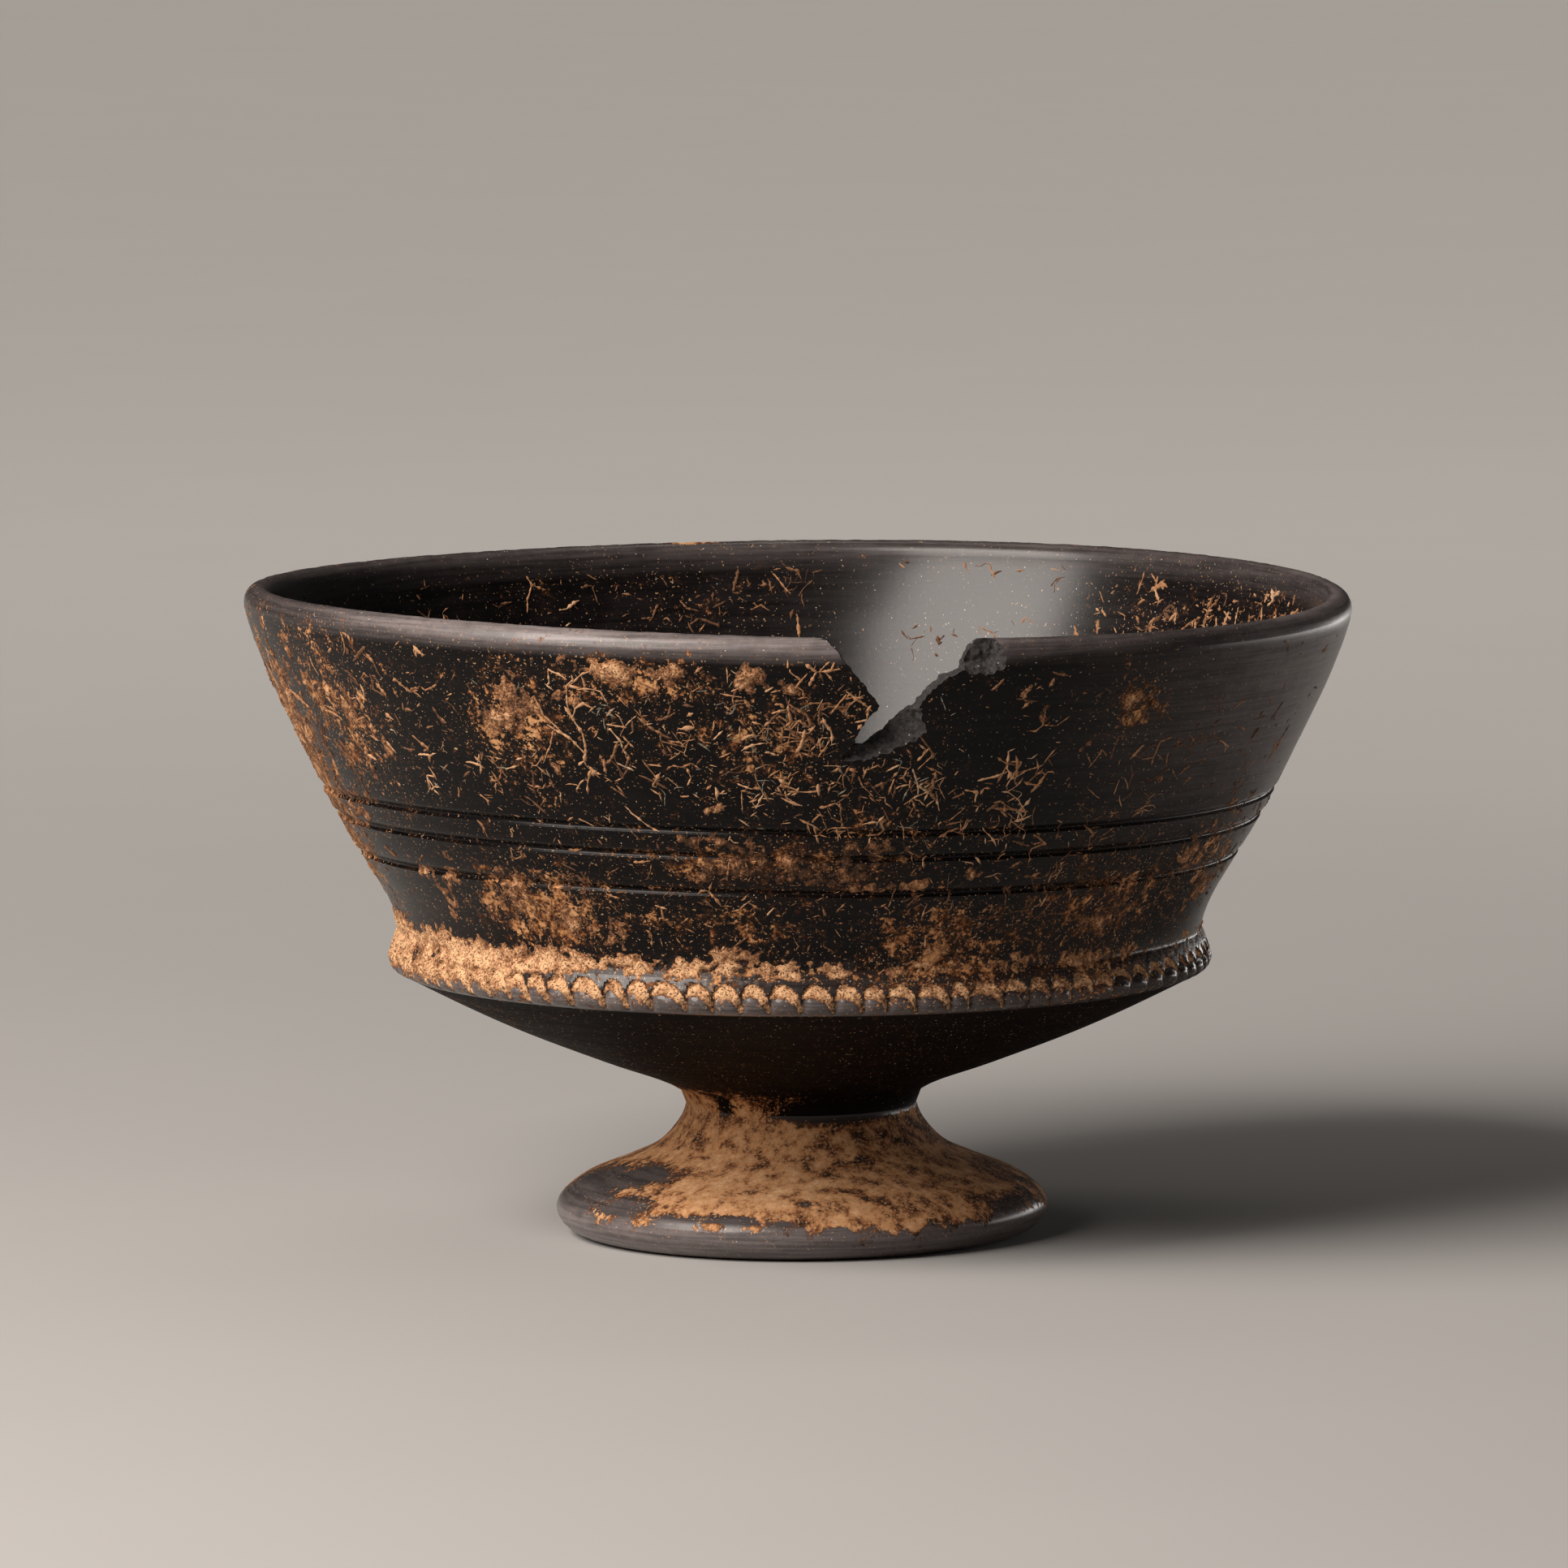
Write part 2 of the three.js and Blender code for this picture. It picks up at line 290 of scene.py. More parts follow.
def clayRings():
    rings = []  # (sides, radius for each side, height)

    def plain(sides, radius, z):
        rings.append((sides, np.full(sides, radius), np.full(sides, z)))

    def shaped(sides, z, radiusOf):
        level = np.full(sides, z)
        rings.append((sides, radiusOf(sideTurns(sides), level), level))

    v, m = vessel, clayMesh
    fine = np.linspace(0, 1, 200)
    mouth = v["restRadius"] - v["restWidth"]
    hollow = evenly((mouth * curves["hollow"](fine))[::-1], (v["hollowDepth"] * fine)[::-1], m["hollowRings"])
    for radius, z in hollow[1:]:
        plain(m["hollowSides"], radius, z)
    plain(m["footSides"], v["restRadius"], 0.0)
    for i in range(1, m["edgeRings"]):
        bend = i / m["edgeRings"] * math.pi / 2
        plain(m["footSides"], v["restRadius"] + (v["footRadius"] - v["restRadius"]) * math.sin(bend),
              v["footEdgeHeight"] * (1 - math.cos(bend)))
    z = v["footEdgeHeight"] + (v["neckHeight"] - v["footEdgeHeight"]) * fine
    for radius, z in evenly(footRadiusAt(z), z, m["footRings"]):
        plain(m["footSides"], radius, z)
    z = v["neckHeight"] + (v["ridgeHeight"] - v["neckHeight"]) * fine
    for radius, z in evenly(undersideRadius(z), z, m["undersideRings"])[1:]:
        plain(m["undersideSides"], radius, z)
    for z in np.linspace(v["ridgeHeight"], cornerHeight, m["ridgeRings"])[1:]:
        shaped(m["ridgeSides"], z, outerRadius)
    levels = list(np.arange(cornerHeight + 0.5, lipStart, m["wallStep"]))
    levels = [z for z in levels if all(abs(z - groove) > m["grooveKeep"] for groove in grooves)]
    for groove in grooves:
        levels += list(np.arange(groove - m["grooveHalf"], groove + m["grooveHalf"] + 0.01, m["grooveStep"]))
    for z in sorted(levels):
        shaped(m["wallSides"], z, outerRadius)
    middle = v["rimRadius"] - v["lipThickness"] / 2
    around = onAxis(sideTurns(m["wallSides"]), np.full(m["wallSides"], middle), np.full(m["wallSides"], v["height"]))
    for i in range(m["lipRings"] + 1):
        bend = i / m["lipRings"] * math.pi
        nick = v["rimNicks"] * noiseAt(around + i * 0.35, 1.6, 2, 5) * math.sin(bend)
        radius = middle + (v["lipThickness"] / 2) * math.cos(bend) + nick * 0.5 - 0.03
        rings.append((m["wallSides"], radius, lipStart + v["lipHeight"] * math.sin(bend) + np.minimum(nick, 0.03)))
    for z in np.linspace(lipStart, cornerHeight, m["insideRings"])[1:]:
        shaped(m["insideSides"], z, innerRadius)
    width = cornerRadius - v["wallThickness"]
    floor = evenly(width * curves["floor"](fine[::-1]),
                   v["floorHeight"] + (cornerHeight - v["floorHeight"]) * fine[::-1], m["floorRings"])
    for radius, z in floor[1:-1]:
        plain(m["insideSides"], radius, z)
    return rings


def stitched(rings, bottomPole, topPole):
    points, starts = [np.array([[0, 0, bottomPole]])], []
    total = 1
    for sides, radius, z in rings:
        turn = sideTurns(sides)
        points.append(onAxis(turn, radius, z))
        starts.append(total)
        total += sides
    points.append(np.array([[0, 0, topPole]]))
    faces = [(0, starts[0] + (k + 1) % rings[0][0], starts[0] + k) for k in range(rings[0][0])]
    for i in range(1, len(rings)):
        low, high = rings[i - 1][0], rings[i][0]
        p, q = starts[i - 1], starts[i]
        if low == high:
            k = np.arange(low)
            step = (k + 1) % low
            faces += list(map(tuple, np.stack([p + k, p + step, q + step, q + k], axis=1).tolist()))
            continue
        a = b = 0
        while a < low or b < high:
            if b >= high or (a < low and (a + 0.5) * high <= (b + 0.5) * low):
                faces.append((p + a % low, p + (a + 1) % low, q + b % high))
                a += 1
            else:
                faces.append((p + a % low, q + (b + 1) % high, q + b % high))
                b += 1
    sides = rings[-1][0]
    faces += [(total, starts[-1] + k, starts[-1] + (k + 1) % sides) for k in range(sides)]
    return np.concatenate(points), faces


def inScene(name, data):
    item = bpy.data.objects.new(name, data)
    bpy.context.scene.collection.objects.link(item)
    return item


def addObject(name, points, faces):
    mesh = bpy.data.meshes.new(name)
    mesh.from_pydata((points * mm).tolist(), [], faces)
    mesh.update()
    return inScene(name, mesh)


def readRows(items, key):
    flat = np.empty(len(items) * 3)
    items.foreach_get(key, flat)
    return flat.reshape(-1, 3)


def writePoints(mesh, points):
    mesh.vertices.foreach_set("co", (points * mm).ravel())
    mesh.update()


def applyModifiers(piece):
    piece.data = bpy.data.meshes.new_from_object(piece.evaluated_get(bpy.context.evaluated_depsgraph_get()))
    piece.modifiers.clear()
    return piece.data


clayPoints, clayFaces = stitched(clayRings(), vessel["hollowDepth"], vessel["floorHeight"])
clay = addObject("bowlClay", warped(clayPoints), clayFaces)
print("clay body:", len(clayPoints), "points")

# the break in the rim, and the two flakes lost from the outer face beside it

breakage = {
    "turn": math.radians(10), "scarDepth": 3.2, "chipDepth": 1.9, "reach": 4.0,
    "voxel": 0.2,           # the fracture's smallest facet
    "coarseGrain": 1.5, "coarseRelief": 0.38, "fineGrain": 0.6, "fineRelief": 0.34,
    "edge": [(-10.2, -3), (-9.4, 0), (-7.6, 1.3), (-6.5, 3.2), (-4.7, 5.3), (-2.1, 8.6), (-3.8, 10.5),
             (-4.9, 12.6), (-4.8, 13.6), (-3.2, 13.6), (-0.9, 11.8), (1.2, 9.5), (2.5, 9.1), (4.3, 6.7),
             (6.3, 5), (8.3, 4.4), (8.3, 3.4), (9, 1.8), (10.1, 0.6), (11.4, -3)],
    "scar": [(-6.4, 15.4, -6.0, 15.0, 0.5), (-3.4, 15.5, -3.4, 14.2, 1.3), (2.5, 12.9, -0.8, 11.5, 2.9),
             (2.8, 9.2, 1.4, 9.1), (1.5, 7.5, 1.2, 8.2), (-1, 8.6, -1, 8.4), (-4.2, 12.4, -3.9, 12.2, 2.4),
             (-6.3, 14.6, -6.0, 14.6, 0.5)],
    "chip": [(7, -3, 7.4, -3), (7, 4.2, 7.4, 3), (9.9, 4.8, 9.9, 3.4), (11.7, 4.8, 11, 3.2),
             (12.8, 4.2, 11.7, 2.7), (13.3, 3.1, 12, 1.9), (13, 1.4, 11.9, 0.9), (12.4, -3, 11.4, -3)],
}


def breakPoint(across, drop, depth):
    z = vessel["height"] - drop
    radius = float(wallRadius(np.array([z]))[0]) - depth
    turn = breakage["turn"] + math.asin(across / radius)
    return np.array([radius * math.sin(turn), -radius * math.cos(turn), z])


def addCutter(name, outline, depth, reachIn):
    outer, inner = [], []
    for row in outline:
        across, drop = row[:2]
        innerAcross, innerDrop = row[2:4] or row[:2]
        bottom = row[4] if len(row) > 4 else depth
        start, end = breakPoint(across, drop, 0), breakPoint(innerAcross, innerDrop, bottom)
        way = (end - start) / np.linalg.norm(end - start)
        outer.append(start - way * breakage["reach"])
        inner.append(end + way * reachIn)
    count = len(outline)
    faces = [tuple(range(count)), tuple(range(2 * count - 1, count - 1, -1))]
    faces += [(k, k + count, (k + 1) % count + count, (k + 1) % count) for k in range(count)]
    cutter = addObject(name, np.array(outer + inner), faces)
    remesh = cutter.modifiers.new("facets", "REMESH")
    remesh.mode = "VOXEL"
    remesh.voxel_size = breakage["voxel"] * mm
    mesh = applyModifiers(cutter)
    points, b = readRows(mesh.vertices, "co") / mm, breakage
    rough = b["coarseRelief"] * noiseAt(points, b["coarseGrain"], 2, 11)
    rough += b["fineRelief"] * noiseAt(points, b["fineGrain"], 1, 12)
    writePoints(mesh, points + readRows(mesh.vertices, "normal") * rough[:, None])
    mesh.polygons.foreach_set("material_index", np.full(len(mesh.polygons), kindOf["brokenClay"], np.int32))
    return cutter


slots = {name: bpy.data.materials.new(name) for name in
         ("burnishedBucchero", "brokenClay", "plainShadedBucchero", "wallBucchero", "ochreSoil", "rootMark", "paleFloor")}
claySlots = ("burnishedBucchero", "brokenClay", "plainShadedBucchero", "wallBucchero")
kindOf = {name: kind for kind, name in enumerate(claySlots)}
for name in claySlots:
    clay.data.materials.append(slots[name])

cutters = [
    addCutter("breakCutter", breakage["edge"], vessel["wallThickness"], breakage["reach"]),
    addCutter("scarCutter", breakage["scar"], breakage["scarDepth"], 0),
    addCutter("chipCutter", breakage["chip"], breakage["chipDepth"], 0),
]
for cutter in cutters:
    for name in claySlots:
        cutter.data.materials.append(slots[name])
    cut = clay.modifiers.new(cutter.name, "BOOLEAN")
    cut.operation, cut.solver, cut.object = "DIFFERENCE", "MANIFOLD", cutter
broken = applyModifiers(clay)
for cutter in cutters:
    bpy.data.objects.remove(cutter)

# which clay each face shows: plain under the bowl and the wall's from the ridge to the lip, both darkened with
# painted shade, broken where the cutters went, burnished everywhere else
clayEdges = {
    "plainBottom": neck + 0.6, "plainTop": ridgeLow + 0.1, "plainDepth": 2.2,
    "wallBottom": cornerHeight - 0.9, "wallTop": 80.0, "wallDepth": 1.6, "sharpAngle": 42,
}
e = clayEdges
kinds = np.empty(len(broken.polygons), np.int32)
broken.polygons.foreach_get("material_index", kinds)
middles = readRows(broken.polygons, "center") / mm
z, reach = middles[:, 2], np.hypot(middles[:, 0], middles[:, 1])
below = (z < e["plainTop"]) & (z > e["plainBottom"])
below &= reach > undersideRadius(np.minimum(z, ridgeLow)) - e["plainDepth"]
z = unwarped(middles)[:, 2]
onWall = (z > e["wallBottom"]) & (z < e["wallTop"]) & (reach > wallRadius(z) - e["wallDepth"])
burnished = kinds == kindOf["burnishedBucchero"]
kinds[burnished & onWall] = kindOf["wallBucchero"]
kinds[burnished & below] = kindOf["plainShadedBucchero"]
broken.polygons.foreach_set("material_index", kinds)
broken.polygons.foreach_set("use_smooth", kinds != kindOf["brokenClay"])
broken.set_sharp_from_angle(angle=math.radians(e["sharpAngle"]))
print("break cut:", len(broken.polygons), "faces")


def inBreak(turn, z, margin=0.35):
    # whether places on the wall lie in the break or its flakes
    radius = wallRadius(z)
    x = radius * np.sin(turn - breakage["turn"])
    y = vessel["height"] - z
    front = np.cos(turn - breakage["turn"]) > 0
    found = np.zeros(len(turn), bool)
    for outline in ("edge", "scar", "chip"):
        corners = np.array([row[:2] for row in breakage[outline]], float)
        centre = corners.mean(0)
        away = corners - centre
        corners = corners + margin * away / np.linalg.norm(away, axis=1)[:, None]
        odd = np.zeros(len(turn), bool)
        for (ax, ay), (bx, by) in zip(corners, np.roll(corners, -1, axis=0)):
            crosses = (ay > y) != (by > y)
            odd ^= crosses & (x < (bx - ax) * (y - ay) / (by - ay + 1e-9) + ax)
        found |= odd
    return found & front


# thin films of soil and rust, each a list of patches: turn, height, half width, half height (mm), amount

films = {
    "outside": [(-31, 70, 6, 6, 0.5), (-16, 76, 10, 3, 0.5), (-3, 69, 12, 7, 0.35), (-2, 53, 17, 4, 0.48),
                (-36, 46, 12, 5, 0.6), (-60, 68, 8, 10, 0.45), (-80, 60, 10, 16, 0.7), (20, 43, 12, 5, 0.6),
                (45, 46, 14, 8, 0.55), (38, 73, 4, 4, 0.55), (65, 50, 10, 8, 0.5), (10, 57, 12, 4, 0.35),
                (-8, 45, 16, 5, 0.33), (-168, 81.4, 3, 0.7, 1.3), (145, 81, 3, 0.6, 1.2),
                (-150, 80.8, 3, 0.6, 1.1), (130, 80, 4, 0.8, 1.1), (160, 81, 2, 0.5, 1.1),
                (110, 60, 20, 14, 0.45), (160, 60, 22, 14, 0.5), (-150, 60, 22, 14, 0.5), (-110, 56, 16, 14, 0.5)],
    "inside": [(131, 74, 14, 6, 0.34), (112, 76, 12, 5, 0.36), (-170, 75, 12, 5, 0.3), (-150, 76, 14, 5, 0.24),
               (160, 70, 14, 6, 0.1), (0, 50, 60, 14, 0.24), (30, 30, 30, 5, 0.34), (-140, 33, 40, 6, 0.34)],
    "rusty": [(-2, 52, 18, 5, 1), (40, 48, 16, 10, 0.9), (-60, 48, 20, 10, 0.6), (37, 73, 4, 3, 1)],
    "clayOnFoot": [(-57, 8.7, 4.6, 1.1, 1.2), (-74, 6.6, 9, 2.4, 1.2), (-50, 5.6, 5, 1.2, 1.1),
                   (-30, 5, 6, 0.6, 0.8), (-16, 5.2, 3.2, 0.6, 1.1), (-5, 4.9, 3, 0.5, 0.9),
                   (62, 5.2, 8, 1.1, 0.8), (80, 6.4, 3, 1.6, 0.6), (-41, 17.2, 0.9, 0.9, 1.6),
                   (14, 16.4, 4.6, 0.8, 1.5), (32, 16.2, 3, 0.7, 1), (12, 8.2, 1.3, 0.35, 0.8),
                   (1, 7, 1.2, 0.3, 0.8), (22, 11, 2.4, 0.5, 0.6), (20, 7.4, 1.4, 0.4, 0.7),
                   (120, 7, 6, 2, 0.6), (-150, 8, 6, 2, 0.6)],
}
patchRadius = 60.0      # mm, at which a patch's width on the wall is measured

# the soil's grain and lumps in mm, how thick it lies, and where: each patch as in the films

soil = {
    "grain": 0.42, "grainRelief": 0.15, "lump": 1.1, "lumpRelief": 0.14, "crumb": 1.0, "broad": 3.6, "wide": 11.0,
    "thickest": 0.26, "thickestLump": 0.12, "crustShare": 0.75, "fillShare": 0.86, "bedded": 0.02, "sunk": -0.12,
    "wallSides": 1408, "wallStep": 0.3, "ridgeSides": 1144, "ridgeStep": 0.2,
    "bottom": ridgeLow + 0.5, "join": (41.0, 41.2), "top": 79.6, "ledgeMiddle": 39.4,
    # how much soil the ridge has kept, by turn: most on the left, least on the right
    "kept": [(-180, 0.72), (-120, 0.8), (-90, 1.0), (-55, 1.0), (-30, 0.9), (15, 0.84), (35, 0.68),
             (55, 0.5), (90, 0.36), (130, 0.55), (180, 0.72)],
    "brown": [(0, 52.5, 20, 4.5, 0.34), (40, 46, 20, 8, 0.26), (37, 73.5, 4, 4, 0.26), (-12, 44.5, 18, 3, 0.2)],
    "patches": [
        (-31.5, 71.5, 3.6, 3.4, 0.62), (-27, 73.4, 4, 1.2, 0.5), (-26, 65.8, 3.2, 1.6, 0.5),
        (-29, 68.6, 1.6, 2.6, 0.4), (-19, 77.6, 4.6, 1.4, 0.62), (-14.5, 77, 3.4, 1.1, 0.5),
        (-5.6, 76.6, 1.7, 1.5, 0.62), (-1, 75.6, 1.5, 1, 0.5), (4.6, 73.6, 1.7, 1.3, 0.45),
        (24, 75, 1.2, 1, 0.5), (26.6, 72.6, 1, 1.8, 0.4), (37, 73.6, 2.3, 2.3, 0.42),
        (-2, 52.4, 13, 2, 0.45), (9, 54.6, 6, 1.6, 0.4), (-10, 55.8, 6, 1.2, 0.4),
        (-8, 60, 3, 1.3, 0.34), (12, 50.2, 6, 1, 0.42), (21.4, 51.4, 1.5, 1.2, 0.45),
        (-40, 47.5, 4, 3, 0.46), (-32, 44.6, 4.5, 2, 0.46), (-25.5, 43.6, 3, 2, 0.42),
        (-52, 46.5, 5, 4, 0.42), (-9, 41.2, 5.5, 1.2, 0.5), (20, 42.2, 4, 2, 0.44),
        (-16, 45.5, 3, 1.6, 0.34), (31, 48, 4, 4, 0.34), (45, 44, 5, 3.4, 0.44),
        (57, 50, 4, 4, 0.4), (70, 46, 6, 4, 0.44), (-66, 73, 4, 5, 0.46),
        (-78, 66, 7, 9, 0.5), (-84, 52, 8, 7, 0.5), (-68, 56, 5, 4, 0.36),
        (-57, 70, 3, 4, 0.28), (-44, 63, 2, 2, 0.26), (60, 60, 2.5, 2.5, 0.28),
        (104, 58, 7, 6, 0.4), (128, 70, 6, 4, 0.44), (150, 48, 9, 3, 0.48),
        (172, 62, 5, 4, 0.42), (-165, 72, 6, 3, 0.46), (-150, 50, 9, 3.4, 0.5),
        (-132, 64, 5, 5, 0.42), (-112, 70, 6, 5, 0.44), (-105, 47, 8, 3.5, 0.48),
    ],
}


def turnFrom(turn, degrees):
    # how far round a place is from a given turn, from -pi to pi
    return np.angle(np.exp(1j * (turn - math.radians(degrees))))


def patchField(turn, z, patches, radius=patchRadius):
    field = np.zeros(len(turn))
    for turnAt, zAt, halfWidth, halfHeight, amount in patches:
        across, up = turnFrom(turn, turnAt) * radius / halfWidth, (z - zAt) / halfHeight
        field = np.maximum(field, amount * np.exp(-0.7 * (across ** 2 + up ** 2)))
    return field


def soilShare(turn):
    degrees, share = np.array(soil["kept"], float).T
    return np.interp(np.degrees(turnFrom(turn, 0)), degrees, share)


def soilHeight(turn, z, points):
    # thickness of the soil above the clay, below zero where there is none
    s = soil
    grain = noiseAt(points, s["grain"], 2, 21)
    lump = noiseAt(points, s["lump"], 2, 22)
    broad = noiseAt(points, s["broad"], 3, 23)
    wide = noiseAt(points, s["wide"], 2, 27)
    share = soilShare(turn)
    k, _, below, above = stampPlace(turn, z)
    rise = z - ridgeLow

    # packed into each half-moon, just under its arch
    kept = share + 0.5 * (0.5 - lobeDraws[k]) + 0.25 * lump
    inside = np.minimum(below - 0.1, above + 0.08 * (kept > 0.9))
    intoStamp = smoothStep(0.0, 0.75, np.clip(above / np.maximum(below + above, 0.2), 0, 1))
    fill = ridge["stampDepth"] * s["fillShare"] * intoStamp
    packed = np.where(inside > -0.1, fill - 0.13 + 0.5 * np.minimum(inside, 0.24) + 0.9 * (kept - 0.62), -1)
    packed = np.where(inside > 0, np.minimum(packed, fill + 0.08), np.minimum(packed, 0.4 * inside))

    # the ledge above the ridge, and over the whole ridge where most is kept
    left = smoothStep(0.9, 1.0, share)
    fade = 1 - smoothStep(0.2, 2.7 + 2.6 * left, np.abs(z - s["ledgeMiddle"] + 0.6 * left))
    ledge = 0.6 * fade * (0.3 + 0.8 * share) + 0.46 * broad + 0.34 * lump + 0.3 * wide - 0.45 + 0.16 * left
    over = left * smoothStep(1.0, 2.6, rise) * (1 - smoothStep(6.0, 7.4, rise))
    ledge = np.maximum(ledge, 0.5 * over * (0.6 + broad) - 0.06)
    ledge = np.where(rise < 0.9, -1, ledge)
    ledge = np.where((rise < 4.3) & (left < 0.5), ledge - 0.1 * smoothStep(5.4, 3.6, rise), ledge)

    # patches of crust on the wall
    crust = patchField(turn, z, s["patches"]) * (1 + 0.5 * wide) + 0.46 * broad + 0.4 * lump - 0.35
    crumbs = 0.62 * noiseAt(points, s["crumb"], 2, 29) + 0.42 * patchField(turn, z, films["outside"]) - 0.4
    crust = np.where(rise > 4.8, np.maximum(crust, crumbs + 0.16 * broad), -1)
    height = np.maximum(packed, s["crustShare"] * np.maximum(ledge, crust))
    height = np.minimum(height, s["thickest"] + s["thickestLump"] * lump)
    soft = smoothStep(-0.05, 0.1, height)
    return height + soft * (s["grainRelief"] * grain + s["lumpRelief"] * lump) - s["bedded"]


def outward(turn, z, step, side=1):
    # the wall's direction outwards, or inwards for side -1, with its slope measured over a step each way
    slope = (wallRadius(z + step) - wallRadius(z - step)) / (2 * step)
    slope = np.where(z < cornerHeight, 0.0, slope)
    lean = np.sqrt(1 + slope ** 2)
    return onAxis(turn, side / lean, -side * slope / lean)


def keptCells(height, rows, sides):
    # cells of a closed band that have soil on any corner
    index = np.arange(rows)[:, None] * sides + np.arange(sides)[None, :]
    right = np.roll(index, -1, axis=1)
    cells = np.stack([index[:-1], right[:-1], right[1:], index[1:]], axis=-1).reshape(-1, 4)
    return cells[(height[cells] > 0).any(axis=1)]


def soilBand(low, high, step, sides):
    levels = np.arange(low, high, step)
    turn, z = [grid.ravel() for grid in np.meshgrid(sideTurns(sides), levels)]
    points = onAxis(turn, outerRadius(turn, z), z)
    height = soilHeight(turn, z, points)
    height[inBreak(turn, z)] = -0.2
    height = np.where(height > 0, height, np.maximum(height, soil["sunk"]))
    paler = np.clip(height, 0, 0.4) / 0.4 - patchField(turn, z, soil["brown"])
    paler -= 0.3 * smoothStep(6, 9, z - ridgeLow)
    cells = keptCells(height, len(levels), sides)
    return points + outward(turn, z, 0.15) * height[:, None], cells, paler


def joined(parts):
    # one mesh from several bands, without the points that no face uses
    points, faces, extra, start = [], [], [], 0
    for part, cells, value in parts:
        used, renumbered = np.unique(cells, return_inverse=True)
        points.append(part[used])
        faces.append(renumbered.reshape(cells.shape) + start)
        extra.append(value[used])
        start += len(used)
    return np.concatenate(points), np.concatenate(faces).tolist(), np.concatenate(extra)


def addValues(mesh, name, values):
    attribute = mesh.attributes.new(name, "FLOAT", "POINT")
    attribute.data.foreach_set("value", np.ascontiguousarray(values, np.float32))


def toBox(points):
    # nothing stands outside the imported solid's box
    low, high = np.array(cadLow) / mm + 0.01, np.array(cadHigh) / mm - 0.01
    return np.clip(points, low, high)


def addDressing(name, material, valueName, parts):
    points, faces, values = joined(parts)
    piece = addObject(name, toBox(warped(points)), faces)
    piece.data.polygons.foreach_set("use_smooth", np.ones(len(faces), bool))
    piece.data.materials.append(slots[material])
    addValues(piece.data, valueName, values)
    return piece


joinLow, joinHigh = soil["join"]
soilPiece = addDressing("soilDeposit", "ochreSoil", "thickness", [
    soilBand(soil["bottom"], joinHigh, soil["ridgeStep"], soil["ridgeSides"]),
    soilBand(joinLow, soil["top"], soil["wallStep"], soil["wallSides"]),
])
print("soil:", len(soilPiece.data.polygons), "cells")

# root marks: thin limey strands that roots left on the wall, each a low half-round thread

